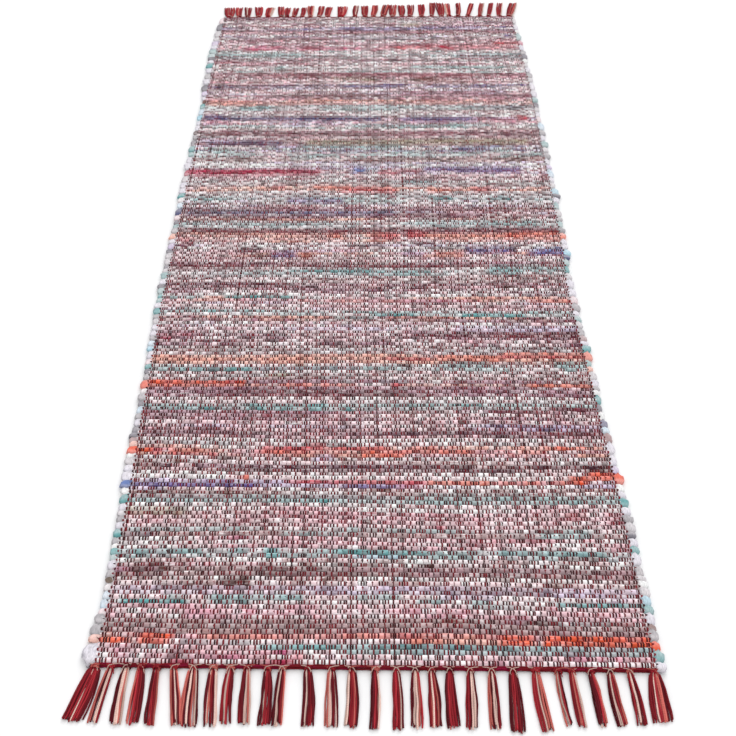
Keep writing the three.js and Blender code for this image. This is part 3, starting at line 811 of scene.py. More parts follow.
def finishCloth(tree, shader, height, settings):
    # the relief, the sheen and the low gloss of a cotton
    bump = put(tree, "ShaderNodeBump", {
        "Height": height, "Strength": settings["bump"], "Distance": settings["bumpDepth"] * mm,
    })
    tree.links.new(bump.outputs["Normal"], shader.inputs["Normal"])
    shader.inputs["Sheen Weight"].default_value = settings["sheen"]
    shader.inputs["Sheen Roughness"].default_value = 0.5
    shader.inputs["Specular IOR Level"].default_value = settings["gloss"]


def makeRagCotton(name, settings):
    material, tree, shader = newMaterial(name)
    place = put(tree, "ShaderNodeTexCoord").outputs["Object"]
    if settings["alongPath"]:
        place = put(tree, "ShaderNodeUVMap", uv_map="yarn").outputs["UV"]
    cotton = put(tree, "ShaderNodeGroup", {}, node_tree=cottonFibre)
    tree.links.new(place, cotton.inputs["Vector"])
    cotton.inputs["Stretch"].default_value = settings["stretch"]
    cotton.inputs["Fineness"].default_value = settings["fineness"]
    cotton.inputs["Contrast"].default_value = settings["contrast"]
    dye = put(tree, "ShaderNodeAttribute", attribute_name="dye").outputs["Color"]
    fleck = put(tree, "ShaderNodeAttribute", attribute_name="fleck").outputs["Color"]
    share = calc(tree, "MULTIPLY", cotton.outputs["Fleck"], settings["fleckShare"])
    flecked = put(tree, "ShaderNodeMix", {"Factor": share, "A": dye, "B": fleck}, data_type="RGBA")
    shaded = scaled(tree, flecked.outputs["Result"], cotton.outputs["Shade"])
    tree.links.new(shaded, shader.inputs["Base Color"])
    tree.links.new(cotton.outputs["Rough"], shader.inputs["Roughness"])
    finishCloth(tree, shader, cotton.outputs["Height"], settings)
    return material


ragCottonFinish = {
    "alongPath": False,
    "stretch": (0.45, 1.5, 1.5),  # the fibres run along the rag, which runs across the rug
    "fineness": 620,
    "contrast": 0.5,
    "fleckShare": 0.7,
    "bump": 0.6,
    "bumpDepth": 0.5,
    "sheen": 0.12,
    "gloss": 0.25,
}


def makeTwistedYarn(settings):
    material, tree, shader = newMaterial("twistedYarn")
    yarn = put(tree, "ShaderNodeUVMap", uv_map="yarn").outputs["UV"]
    apart = put(tree, "ShaderNodeSeparateXYZ", {"Vector": yarn})
    turns = calc(tree, "DIVIDE", apart.outputs["Y"], settings["lay"] * mm)
    phase = calc(tree, "ADD", calc(tree, "MULTIPLY", apart.outputs["X"], 2.0), turns)
    ply = calc(tree, "ABSOLUTE", calc(tree, "SINE", calc(tree, "MULTIPLY", phase, math.pi)))
    place = put(tree, "ShaderNodeTexCoord").outputs["Object"]
    cotton = put(tree, "ShaderNodeGroup", {}, node_tree=cottonFibre)
    tree.links.new(place, cotton.inputs["Vector"])
    cotton.inputs["Fineness"].default_value = settings["fineness"]
    cotton.inputs["Contrast"].default_value = settings["contrast"]
    dye = put(tree, "ShaderNodeAttribute", attribute_name="dye").outputs["Color"]
    # painted shade in the grooves between the two plies
    plyShaded = calc(tree, "MULTIPLY_ADD", ply, settings["plyGrooveShade"], 1 - settings["plyGrooveShade"])
    shade = calc(tree, "MULTIPLY", plyShaded, cotton.outputs["Shade"])
    tree.links.new(scaled(tree, dye, shade), shader.inputs["Base Color"])
    tree.links.new(cotton.outputs["Rough"], shader.inputs["Roughness"])
    raised = calc(tree, "MULTIPLY_ADD", cotton.outputs["Height"], 0.3, ply)
    finishCloth(tree, shader, raised, settings)
    return material


twistedYarnFinish = {
    "lay": 2.6,  # one turn of the two plies
    "fineness": 1500,
    "contrast": 0.4,
    # how much painted shade darkens the grooves between the plies
    "plyGrooveShade": 0.35,
    "bump": 0.7,
    "bumpDepth": 0.35,
    "sheen": 0.0,
    "gloss": 0.12,
}

foldedRagFinish = {
    "alongPath": True,  # creases run round the fold
    "stretch": (26, 150, 1),
    "fineness": 1.0,
    # high enough to paint shade in the creases and light on the folds
    "contrast": 1.3,
    "fleckShare": 0.8,
    "bump": 1.0,
    "bumpDepth": 1.6,
    "sheen": 0.1,
    "gloss": 0.25,
}

ragCotton = makeRagCotton("ragCotton", ragCottonFinish)
foldedRag = makeRagCotton("foldedRag", foldedRagFinish)
twistedYarn = makeTwistedYarn(twistedYarnFinish)
print("finishes made")

# Weft: each row is one rag, puffed between the warps that cross over it and pinched beneath them.
weftForm = {
    "steps": (0, 3, 3.4, 4.6, 5, 5.4, 6.6),  # steps of the warp's pattern where the rag is shaped
    "puffed": (0, 0, 1, 1, 0, 1, 1),
    "puff": (0, 0, 0, 0, 1, 1, 1),  # which of the repeat's two puffs it belongs to
    "bright": (1.15, 1.08, 0.95, 0.95, 0.82, 0.95, 0.95),  # painted light and shade along the repeat: lighter in the pinches between the thick warps, darker in the V at the thin warp of step 5
    "pinchTop": 5.45,
    "pinchFoot": 0.3,
    "puffFoot": 0.9,
    "pinchWidth": 1.02,
    "puffWidth": 1.05,
    "crestUneven": 0.3,  # how far the puffs of one row differ in height
    "shift": 0.2,
    # a few puffs show more of the fleck's dye: how far its share swings, round what, and its most
    "other": (2.2, -1.3, 0.6),
    "shadeUneven": 0.25,  # how far the puffs differ in brightness at the near end
    "farUneven": 0.2,  # and how much farther at the far end
    "farFrom": 90,  # which begins to show from this row on
    "farOver": 130,  # and does so in full this many rows on
    "sides": 5,
}
# of a five-sided section that stands on a corner: how high its top and how wide its sides are
sectionTop, sectionSide = math.cos(math.radians(36)), math.cos(math.radians(18))


def rowSteps(row):
    # along one row: step of the warp's pattern, puffed or not, painted light and shade, and which puff it
    # belongs to
    form, repeat, units = weftForm, clothPlan["repeat"], clothPlan["units"]
    starts = np.arange(-repeat, units + repeat, repeat) + (repeat / 2 if row % 2 else 0)
    steps = (starts[:, None] + np.array(form["steps"])).ravel()
    puffed, bright, puff = (np.tile(form[key], len(starts)) for key in ("puffed", "bright", "puff"))
    puff = puff + 2 * np.repeat(np.arange(len(starts)), len(form["steps"]))
    inside = (steps > 0.6) & (steps < units - 0.6)
    steps = np.concatenate([[-0.3], steps[inside], [units + 0.3]])
    # the row's two end points take a painted shade of 0.8
    return (steps, np.pad(puffed[inside], 1), np.pad(bright[inside], 1, constant_values=0.8),
            np.pad(puff[inside], 1, mode="edge"))


def weftRow(row):
    form = weftForm
    steps, puffed, bright, puff = rowSteps(row)
    x = warpX(steps, row + 0.5)
    low, high = lineY(row, x), lineY(row + 1, x)
    crest = clothPlan["crest"] + clothPlan["crestUneven"] * uneven(2 * row + 1, 5)
    crest = crest + form["crestUneven"] * uneven(puff, row)
    top = np.where(puffed, crest, form["pinchTop"])
    foot = np.where(puffed, form["puffFoot"], form["pinchFoot"])
    half = (top - foot) / (1 + sectionTop)
    width = (high - low) / 2 / sectionSide * np.where(puffed, form["puffWidth"], form["pinchWidth"])
    y = (low + high) / 2 + form["shift"] * uneven(puff, row + 0.5)
    colour, fleck = rowColours(row, x)
    differ = form["shadeUneven"] + form["farUneven"] * eased((row - form["farFrom"]) / form["farOver"])
    # each puff's painted light and shade, times its own random tone
    shade = (bright * (1 + differ * uneven(puff, row + 17)))[:, None]
    swing, middle, most = form["other"]
    other = np.clip(uneven(puff, row + 31) * swing + middle, 0, most)
    colour = np.clip(mixed(colour, fleck, other) * shade, 0, dyeForm["most"])
    fleck = np.clip(fleck * shade, 0, dyeForm["most"])
    return strand(np.stack([x, y, foot + half], 1), width, half, colour, fleck)


# Warp: ten yarns to a repeat, thick dark ones in threes and thin red ones between the puffs.
warpForm = {
    "even": ((0, "thick"), (1, "thick"), (2, "thick"), (3, "thin"), (5, "thin")),  # over the even rows
    "odd": ((3.5, "thick"), (4.5, "thick"), (5.5, "thick"), (6.5, "thin"), (1.5, "thin")),
    "thick": 1.2,
    "thin": 1.22,
    "selvedge": 1.4,
    "radiusUneven": 0.1,
    "over": {"thick": 6.35, "thin": 6.5, "selvedge": 6.3},
    "overUneven": 0.2,
    "sunk": 0.65,  # how much lower they go over the rags at the far end
    "sunkFrom": 40,  # which begins on this row
    "sunkOver": 160,  # and is reached this many rows on
    "shift": 0.25,
    "wander": ((5, 50, 0.25), (26, 90, 0.55)),  # over how many rows, its seed, how far
    "dark": 0.35,  # how far the dark dye is dimmed: the yarn's own darkness and painted shade of the gaps the warp lies in
    "lightShare": 0.36,
    "lightUneven": 0.7,
    "under": 0.9,
    "sides": 3,
    # the dyes between which a warp varies, and the share of the rag's colour mixed in as painted light
    # reflected from the rag
    "dyes": {"thick": ("yarnDark", "yarnWine", 0.02), "thin": ("yarnDark", "yarnWine", 0.04),
             "selvedge": ("yarnDark", "yarnWine", 0.02)},
}


def warpList():
    # every warp's step, thickness, colours and which rows it crosses over
    found = []
    for start in np.arange(0, clothPlan["units"], clothPlan["repeat"]):
        for parity, key in enumerate(("even", "odd")):
            for at, kind in warpForm[key]:
                if 1.4 < start + at < clothPlan["units"] - 1.4:
                    found.append((start + at, kind, parity))
    for edge, inward in ((0, 1), (clothPlan["units"], -1)):
        for step, kind, parity in ((0, "selvedge", 0), (0.55, "selvedge", 1), (1.1, "thick", 0)):
            found.append((edge + step * inward, kind, parity))
    return found


def warpRun(index, warp, first, last):
    # one warp over the rows from first up to last, with an end on each line that bounds them
    form = warpForm
    step, kind, parity = warp
    at = np.concatenate([[first], np.arange(first, last) + 0.5, [last]])
    x = warpX(step, at) + form["shift"] * uneven(index, 21)
    for over, seed, far in form["wander"]:
        x = x + far * drift(at, over, index + seed)
    y = (lineY(np.floor(at), x) + lineY(np.ceil(at), x)) / 2
    rows = np.floor(at).astype(int)
    sunk = form["sunk"] * eased((rows - form["sunkFrom"]) / form["sunkOver"])
    crossing = form["over"][kind] - sunk + form["overUneven"] * uneven(index, rows)
    z = np.where(rows % 2 == parity, crossing, form["under"])
    z[[0, -1]] = (form["over"][kind] + form["under"]) / 2
    differ = form["radiusUneven"]
    radius = form[kind] * (1 + differ * uneven(index, 22) + differ * uneven(index, rows + 0.5))
    rag = ragNear[np.minimum(rows, clothPlan["rows"] - 1), index]
    dark, light, ragBounce = form["dyes"][kind]
    share = eased(form["lightShare"] + form["lightUneven"] * uneven(index, rows + 7))
    # the dark dye dimmed with painted shade
    own = mixed(dyes[dark] * form["dark"], dyes[light], share)
    # painted light reflected from the rag beside the warp
    colour = mixed(own, rag, np.full(len(at), ragBounce))
    return strand(np.stack([x, y, z], 1), radius, radius, np.clip(colour, 0, dyeForm["most"]))


# Selvedge: the rags turn back round the last warp in soft lobes, each two to five rows long.
lobeForm = {
    "under": 2.5,  # how far a lobe goes in under the last warp
    "lap": 2.6,  # how far it laps over its neighbours
    "tip": 1.5,
    "tipShare": 0.34,  # how much of its length each tip takes
    "round": 0.7,  # how far its outer corner draws in, of half its width
    "roundShare": 0.4,
    "wideUneven": 0.07,
    "height": 2.9,  # half its thickness
    "heightUneven": 0.1,
    "thick": (0.55, 0.45),  # the share of that at its tips, and how much more in its middle
    "foot": 0.1,
    "lift": 1.3,  # how much higher the end that lies on top is
    "liftUneven": 0.4,
    "points": 12,
    "sides": 10,
    "crumple": 0.75,
    "crease": 26,
    "bright": (0.62, 0.33),  # how bright its tips are, with painted shade, and how much a painted highlight lifts its raised middle
    "white": 0.2,  # the share of white in its dye, which comes and goes
    "slate": (0.45, 0.35),  # the share of slate in its fleck, and how far that differs
    "fleckBright": 0.75,
    "most": 0.8,
}
# The lobes of each side from the near end on: (its last row, how far past the side's mean line, dye)
lobes = {
    "left": [
        (3.8, 7, "pearl"), (4.9, 4, "salmon"), (7.6, 4, "grey"), (9.6, 1.5, "grey"),
        (10.6, -1, "palePink"), (12.8, -2, "ice"), (14.8, -2.5, "ice"), (15.8, -2, "chalk"),
        (17.2, -4, "silver"), (19.5, -1.5, "grey"), (21.2, -2, "pearl"), (22.6, -2, "mist"),
        (24, -1, "teal"), (25, -1, "white"), (26.5, 0, "grey"), (28.6, -0.5, "teal"),
        (30, -1.5, "pearl"), (31.5, -1.5, "grey"), (32.8, -1, "silver"), (34.6, -0.5, "pearl"),
        (36.6, 0.5, "teal"), (38.6, 0.5, "white"), (40, 4.5, "blue"), (42.4, 3.5, "pearl"),
        (44.5, 3.5, "pearl"), (46, 3.5, "silver"), (47, 3, "white"), (49.2, 2.5, "orange"),
        (50.4, 1, "salmon"), (51.8, 1.5, "taupe"), (52.6, 3, "slate"), (55.2, 0, "slate"),
        (57, -1, "pearl"), (58.9, -1.5, "grey"), (61, -0.5, "ice"), (62.6, -1, "slate"),
        (65, 0.5, "grey"), (66.3, -1, "chalk"), (68.8, 0, "orange"), (71, -2.5, "grey"),
        (72.3, -2.5, "slate"), (73.6, -2.5, "teal"), (75.6, -1, "palePink"), (78, -1, "pearl"),
        (79.6, 0, "sky"), (81.5, 0, "ice"), (83, -2.5, "grey"), (84.8, -0.5, "pearl"),
        (87, -2, "pearl"), (88.6, -2, "silver"), (90.4, -1, "grey"), (92.8, 0, "teal"),
        (94.4, 1, "pearl"), (96, -1.5, "mist"), (97.6, -2, "teal"), (100, 0, "mist"), (101, 1, "slate"),
        (103.2, 1, "pearl"), (105.8, 0, "mist"), (107, -1, "silver"), (108.6, -1, "slate"),
        (111, -0.5, "silver"), (113.2, 0, "silver"), (114.6, 0, "slate"), (117, -1, "lavender"),
        (118.6, 0, "pearl"), (121.2, 2, "salmon"), (123.5, -1, "grey"), (125, -2.5, "mist"),
        (127, -2, "slate"), (129, 0, "palePink"), (132.2, -1, "navy"), (135, -1.5, "ice"),
        (137, 0, "chalk"), (139, 2.5, "teal"), (141.5, 2, "pearl"), (144, 2, "pearl"),
        (147, 0.5, "silver"), (150, -0.5, "crimson"), (153, 1.5, "pearl"), (156, 0, "pearl"),
        (158.5, -1.5, "mist"), (161.2, 0.5, "teal"), (165, -2, "slate"), (167.5, -2, "grey"),
        (169.8, -1.5, "umber"), (172.5, -3, "pearl"), (175.5, -3, "pearl"), (178, -1.5, "sky"),
        (181.5, -1.5, "ice"), (185, -2.5, "teal"), (187, -5, "brown"), (189, -2, "pearl"),
        (192, -0.5, "lavender"), (196, 4, "slate"), (199, 3, "pearl"), (203, 3, "grey"),
        (206, 2, "pearl"), (209, 5.5, "teal"), (211, 4, "pearl"), (212.5, 4.5, "slate"),
        (215, 5.5, "mist"), (218, 5.5, "mist"), (220, 5, "pearl"), (223, 4, "lavender"),
        (226, 2.5, "silver"), (230, 2.5, "silver"), (235, 1, "slate"), (240, -1, "palePink"),
    ],
    "right": [
        (1, 0, "pearl"), (3.3, 2, "teal"), (5.2, -1.5, "orange"), (7.6, -0.5, "grey"),
        (8.4, 0, "brown"), (11, 0.5, "pearl"), (12.6, 0.5, "teal"), (14.4, 0.5, "sky"),
        (16.4, 1.5, "silver"), (17.8, 2, "white"), (18.6, 0.5, "silver"), (21, -0.5, "grey"),
        (24, 0, "pearl"), (25.2, 0.5, "teal"), (27.2, 1, "pearl"), (28.6, 1, "slate"),
        (30.6, 3, "silver"), (32.4, 2, "grey"), (34.4, 1.5, "pearl"), (36.4, 1, "teal"),
        (38, 0, "pearl"), (40.2, 0, "white"), (42.6, 2, "orange"), (44.6, -1, "lavender"),
        (48, -1, "pearl"), (51, 0.5, "pearl"), (53.8, 1, "taupe"), (55.4, -0.5, "ice"),
        (57.4, -1, "navy"), (60, -2, "white"), (62, -4, "slate"), (64.8, -2, "teal"),
        (66.3, -2, "white"), (67.4, 0, "grey"), (69.4, 1, "pearl"), (72, 0.5, "silver"),
        (73.6, -3, "salmon"), (75.4, -2.5, "mist"), (78, 1.5, "coral"), (80.6, 3, "teal"),
        (81.6, 0, "pearl"), (83.4, 1.5, "taupe"), (86, 0, "grey"), (88.4, -0.5, "silver"),
        (90.2, 1, "mist"), (92, -0.5, "pearl"), (94.6, 2.5, "grey"), (97, 2, "palePink"),
        (100, 1, "pearl"), (103, 1, "pearl"), (105.6, -1, "silver"), (108.4, -4, "teal"),
        (111, -2, "mist"), (112.4, 0, "navy"), (115, 3, "sky"), (117, -0.5, "pearl"),
        (119, -1, "pearl"), (122, -0.5, "coral"), (124, 0, "grey"), (127, -1.5, "mist"),
        (129, 0, "grey"), (132, 0, "silver"), (135, -2, "mist"), (137.4, 1.5, "pearl"),
        (138.6, 4, "slate"), (141, 2, "sky"), (144, -2, "silver"), (146, -2, "pearl"), (150, -1, "ice"),
        (152, -1, "lavender"), (155, -3, "pearl"), (158, 1.5, "grey"), (161, -0.5, "silver"),
        (164, 1.5, "mist"), (167, -1, "pearl"), (170, 1, "grey"), (174, 1, "ice"),
        (177, -2, "palePink"), (180, -2, "pearl"), (182, -2, "silver"), (185, -1, "slate"),
        (188, 0, "mist"), (192, 0, "pearl"), (197, 0, "pearl"), (200, 0.5, "silver"),
        (203, 0.5, "grey"), (206, 0, "pearl"), (209, -3, "silver"), (211, 0, "white"),
        (214, 2, "slate"), (216.6, 1, "grey"), (220, -2, "pearl"), (223, -0.5, "rose"),
        (228, -1, "mist"), (230, -2, "white"), (234, -3, "pearl"), (240, -4, "silver"),
    ],
}


def selvedgeLobe(side, number):
    # the lobes lap like scales that all lean the same way: outermost first on the left, last on the right
    form = lobeForm
    last, reach, dye = lobes[side][number]
    first = lobes[side][number - 1][0] if number else -0.5
    outward = -1 if side == "left" else 1
    warp = sideMean(side, (first + last) / 2) - outward * clothPlan["warpInset"]
    reach = reach + clothPlan["warpInset"]
    half = (reach + form["under"]) / 2
    share = np.linspace(0, 1, form["points"])
    wide = form["tip"] + (half - form["tip"]) * domed(share, form["tipShare"])
    wide = wide * (1 + form["wideUneven"] * drift(share * 10, 3, number))
    outer = eased((0.5 - share) * 2.5 + 0.5) if side == "left" else eased((share - 0.5) * 2.5 + 0.5)
    rounded = reach - form["round"] * half * (1 - domed(share, form["roundShare"]))
    out = (rounded - wide) * outer + (wide - form["under"]) * (1 - outer)
    near, far = lineY(first, warp), lineY(last, warp)
    y = near - form["lap"] + (far - near + 2 * form["lap"]) * share
    tips, more = form["thick"]
    tall = form["height"] * (1 + form["heightUneven"] * uneven(number, 72))
    tall = tall * (tips + more * np.sqrt(wide / half))
    over = share if number % 3 else 1 - share
    z = tall + form["foot"] + form["lift"] * over * (1 + form["liftUneven"] * uneven(number, 73))
    colour = dyes[dye]
    pale = mixed(colour, dyes["white"], form["white"] + form["white"] * drift(share * 10, 3, number + 40))
    # painted shade at the tips and a painted highlight on the raised middle
    tipShade, middleHighlight = form["bright"]
    pale = np.clip(pale * (tipShade + middleHighlight * domed(share, 0.3))[:, None], 0, form["most"])
    middle, differ = form["slate"]
    fleck = mixed(colour, dyes["slate"], middle + differ * uneven(number, 74)) * form["fleckBright"]
    return strand(np.stack([warp + outward * out, y, z], 1), wide, tall, pale, fleck)


# The rolled end of a rag that stands up in the left-hand selvedge.
buttonForm = {
    "row": 16.8,
    "out": 3,  # how far past the last warp
    "heights": (0.4, 5.8, 7.3, 7.6),
    "radii": (5.4, 5.9, 5.6, 5.0),
    "dyes": ("silver", "silver", "silver", "bark"),
    "lean": 0.12,
}


def ragButton(form):
    z, radius = np.array(form["heights"]), np.array(form["radii"])
    x = sideMean("left", form["row"]) + clothPlan["warpInset"] - form["out"]
    y = lineY(form["row"], x) - form["lean"] * z
    colour = np.stack([dyes[dye] for dye in form["dyes"]])
    return strand(np.stack([x + 0 * z, y, z], 1), radius, radius, colour)


rowsPerBand = clothPlan["rows"] // clothPlan["bands"]
warps = warpList()
# the rag's colour where each warp crosses each row, a little of which the yarns take on as painted light
# reflected from the rag
warpSteps = np.array([step for step, kind, parity in warps])
ragNear = np.array([rowColours(row, warpX(warpSteps, row + 0.5))[0] for row in range(clothPlan["rows"])])


def makeSelvedge(side, label, first, last):
    # the lobes of one side that begin in a band of rows
    starts = [-1] + [lobe[0] for lobe in lobes[side]]
    strands = [selvedgeLobe(side, i) for i in range(len(lobes[side])) if first <= max(starts[i], 0) < last]
    if side == "left" and first <= buttonForm["row"] < last:
        strands.append(ragButton(buttonForm))
    name = "selvedge_" + side + "_" + label
    return sweep(name, strands, lobeForm["sides"], foldedRag, crumple=lobeForm["crumple"])


rugWide = (cloth[0][0], cloth[1][0])
for band in range(clothPlan["bands"]):
    first, last = band * rowsPerBand, (band + 1) * rowsPerBand
    label = str(band + 1)
    rags = [weftRow(row) for row in range(first, last)]
    weft = sweep("weft_rows_" + label, rags, weftForm["sides"], ragCotton, acrossRug=rugWide)
    yarns = [warpRun(index, warp, first, last) for index, warp in enumerate(warps)]
    warp = sweep("warp_yarns_" + label, yarns, warpForm["sides"], twistedYarn, ridgeUp)
    selvedges = [makeSelvedge(side, label, first, last) for side in ("left", "right")]
    for piece in (weft, warp, *selvedges):
        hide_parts("woven_cloth")
        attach(piece, "root")
    print("band", label, "woven:", [len(piece.data.polygons) for piece in (weft, warp, *selvedges)], "faces")

# Fringe: the warps leave the cloth, gather into knots and hang on as yarns of a tassel.
yarnLetters = {"d": "yarnDark", "w": "yarnWine", "r": "yarnRed", "c": "yarnCoral", "s": "yarnSand"}
# The tassels of each end from left to right:
# (where the knot is, how far the tips lean to the right of it, how long it hangs, its yarns' dyes).
# The pitch is a dye's share of the width of a tassel.
fringeEnds = {
    "near": {"direction": -1, "edge": "nearEdge", "salt": 3, "pitch": 2.3, "tassels": [
        (-345, -12, 78, "wrwdrswrrwrd"), (-326, -7, 82, "crdssw"), (-307, -1, 82, "ddsscs"),
        (-289, 0, 82, "cwrwrwd"), (-270, 1, 83, "dsrwc"), (-249, 11, 83, "crdsdc"),
        (-225, 2, 85, "cwdsdrcsd"), (-201, 3, 84, "dscwdrs"), (-180, 0, 80, "wcsrwd"),
        (-160, 1, 80, "wrdscs"), (-135, 0, 83, "dsrrwd"), (-117, -2, 82, "dssdwc"),
        (-86, 2, 82, "dssdwrd"), (-57, 2, 85, "ccsdwsd"), (-32, 0, 84, "sdwrcrd"),
        (-4, -1, 86, "dwrws"), (22, 1, 86, "wrrwsd"), (45, 0, 85, "dwsscr"), (65, 2, 84, "wcswcd"),
        (87, 1, 84, "dcrrwd"), (112, -2, 85, "wrdssd"), (138, 0, 84, "cwdsdw"),
        (164, -1, 90, "dsrrwsd"), (192, 6, 87, "rcwscdc"), (219, 6, 78, "csrd"), (236, 3, 80, "wdcrs"),
        (259, 5, 79, "dsdrc"), (283, 4, 78, "dwsrwc"), (307, 3, 77, "wcsdw"),
        (337, -1, 72, "wrwsrcscdw"),
    ]},
    "far": {"direction": 1, "edge": "farEdge", "salt": 8, "pitch": 2.7, "tassels": [
        (-333, -3, 58, "wrrcrwrrcr"), (-310, -2, 58, "rwcrwr"), (-290, -2, 59, "wcsrwr"),
        (-265, -1, 61, "wrrwrcr"), (-242, 4, 59, "rcwrcws"), (-211, -2, 64, "wcrwcr"),
        (-198, 1, 57, "rcwrr"), (-181, 3, 56, "crwrw"), (-162, 3, 57, "wcrwr"), (-141, 0, 68, "crwrcs"),
        (-122, 5, 65, "wrrcrw"), (-101, 4, 60, "rcwrcr"), (-70, 3, 63, "wrrwrrcrr"),
        (-36, 3, 70, "wcrsw"), (-12, -1, 66, "wrcrwr"), (7, 5, 69, "rwcrwc"), (31, 10, 74, "crwrcwr"),
        (54, 3, 72, "wcrcrrc"), (75, 0, 70, "wrrcrw"), (95, 4, 71, "wrwrcw"), (122, 3, 74, "rwrwwr"),
        (147, 4, 84, "wrcrw"), (170, -2, 84, "wcrrwcr"), (188, -1, 80, "srcwr"), (210, 4, 82, "wrrcw"),
        (233, 14, 82, "wrcrw"), (262, 11, 82, "rwcrs"), (283, 13, 83, "wrrwr"), (308, 10, 82, "rcrwrs"),
        (333, 16, 82, "wrrcwrcrs"),
    ]},
}
fringeForm = {
    "knotOut": 7.5,
    "knotHeight": 3.6,
    "corner": 9,  # how far past its knot an outermost tassel takes in warps
    "yarnsPerDye": 1.6,
    "neck": 0.5,  # how wide a tassel is at its knot beside its tips
    "lengthUneven": 3,
    "yarnRadius": 1.25,
    "radiusUneven": 0.15,
    "sway": 0.9,  # how far a yarn wanders to the side
    "splay": 1.1,  # how far its tip does
    "bend": 1.6,  # how far a whole tassel bends
    "bright": 1.04,
    "brightUneven": 0.3,
    "brightDrift": 0.12,  # how far it changes along a yarn
    "flat": 0.92,  # how high a yarn is beside its width
    "upperGap": 1.5,  # how much higher, in yarn radii, the upper yarns begin
    "sides": 5,
}
# where a hanging yarn is shaped, in shares of its length
hangShares = np.array([0.05, 0.12, 0.22, 0.35, 0.48, 0.6, 0.72, 0.84, 0.94, 1.0])


def knotPlaces(end):
    return np.array([entry[0] for entry in end["tassels"]], float)


def tasselYarn(end, k, i, count, root):
    # one yarn: out of the cloth at root, up over the header to the knot, and down to its tip
    form, direction, salt = fringeForm, end["direction"], end["salt"]
    x, lean, hang, letters = end["tassels"][k]
    mark = k * 20 + i
    share = (i + 0.5) / count
    long = hang + form["lengthUneven"] * uneven(mark, salt + 1) - 1
    side = (share - 0.5) * len(letters) * end["pitch"]
    layer = 1 + (i % 2)
    radius = form["yarnRadius"] * (1 + form["radiusUneven"] * uneven(mark, salt + 32))
    along = hangShares
    offset = side * (1 - (1 - form["neck"]) * (1 - along) ** 3)
    sway = form["sway"] * eased(along * 2) * drift(along * 100, 28, mark + 5)
    sway = sway + form["splay"] * along * uneven(mark, salt + 33)
    bend = form["bend"] * uneven(k, salt + 34) * np.sin(np.pi * along)
    hangX = x + offset + lean * along * (1.15 - 0.3 * share * np.sign(lean)) + sway + bend
    hangY = direction * (form["knotOut"] + long * along)
    rest = radius * (1 + (layer - 1) * form["upperGap"] * (1 - 0.5 * eased(along * 1.3 - 0.3)))
    fall = eased(along * 3.2)
    hangZ = np.maximum(rest, form["knotHeight"] * (1 - fall) + rest * fall)
    tight = side * form["neck"] * 0.75
    # four points before it hangs: in the cloth, at its edge, before the knot and in it
    headX = np.array([root, root * 0.7 + x * 0.3, x + tight * 1.2, x + tight])
    headY = direction * np.array([-3.0, 1.2, form["knotOut"] - 3.2, form["knotOut"] + 0.5])
    headZ = np.array([2.6, 3.2, 3.0 + 0.7 * layer, form["knotHeight"] + 0.8 * (layer - 1.2)])
    y = edgeAt(clothPlan[end["edge"]], x) + np.concatenate([headY, hangY])
    points = np.stack([np.concatenate([headX, hangX]), y, np.concatenate([headZ, hangZ])], 1)
    girth = radius * np.concatenate([[0.75, 0.75, 0.8, 0.85], np.ones(8), [1, 0.85]])
    dye = dyes[yarnLetters[letters[int(share * len(letters))]]]
    shade = form["bright"] + form["brightUneven"] * uneven(mark, salt + 36)
    shade = shade * (1 + form["brightDrift"] * drift(np.arange(len(points)), 3, mark + 900))
    return strand(points, girth, girth * form["flat"], dye * shade[:, None])


def tassel(end, k):
    # its yarns come from half way to the knots on both sides
    form, knots = fringeForm, knotPlaces(end)
    x = knots[k]
    left = (x + knots[k - 1]) / 2 if k > 0 else x - form["corner"]
    right = (x + knots[k + 1]) / 2 if k < len(knots) - 1 else x + form["corner"]
    count = round(form["yarnsPerDye"] * len(end["tassels"][k][3]))
    roots = [left + (right - left) * ((i + 0.5) / count) for i in range(count)]
    return [tasselYarn(end, k, i, count, root) for i, root in enumerate(roots)] + crossingYarns(end, k)


# A crossing yarn, measured across from the middle of its knot and down from the cloth's edge.
crossForm = {
    "radius": 0.6,
    "dyes": ("yarnRed", "yarnSand", "yarnSand", "yarnCoral"),
    "bright": 0.95,
    "wide": (7.5, 2.5),  # how far to the side it leaves the header, and how uneven that is
    "tipOut": (-3.9, 1.5),
    "tipDown": (13.5, 4),
    "neckOut": (-1.5, -3.6),  # where it passes the neck
    "down": (-1.5, 1.6, 3.4, 6.4, 9.6),
    "heights": (2.5, 4.9, 6.4, 7.2, 5.6, 3.4),
    "top": 3,  # at which point the two cross
    "apart": 0.5,
}


def crossingYarns(end, k):
    # two loose ends cross over the knot: from the header on one side down to the other side of the neck
    form, direction, salt = crossForm, end["direction"], end["salt"]
    x = end["tassels"][k][0]
    edge = edgeAt(clothPlan[end["edge"]], x)
    found = []
    for turn in (-1, 1):
        mark = 2 * k + turn
        wide, tipOut, tipDown = (form[key][0] + form[key][1] * uneven(mark, salt + seed)
                                 for key, seed in (("wide", 60), ("tipOut", 61), ("tipDown", 62)))
        out = np.array([wide + 2, wide, 0.5 * wide, *form["neckOut"], tipOut]) * turn
        down = np.array([*form["down"], tipDown])
        z = np.array(form["heights"])
        z[form["top"]] += form["apart"] * turn
        points = np.stack([x + out, edge + direction * down, z], 1)
        dye = dyes[form["dyes"][int((uneven(mark, salt + 63) + 1) * 1.99)]]
        found.append(strand(points, form["radius"], form["radius"], dye * form["bright"]))
    return found


headerForm = {
    "past": 6,  # how far the header goes past the outermost knots
    "pull": 1.5,  # how far a knot pulls it out
    "pullWide": 5,
    # its cords: how far out, how high and how thick each is
    "cords": ((0.2, 3.3, 1.5), (2.3, 3.3, 1.4), (3.6, 1.9, 1.2)),
    "pullFull": 4,  # how far out a cord has the whole pull
    "wander": (0.35, 9),  # how far a cord wanders out and in, and over what length
    "rise": (0.5, 11),
    "dyes": (("yarnWine", 0.8), ("crimson", 0.6)),  # the two it varies between, and how bright
    "dyeLength": 14,
}


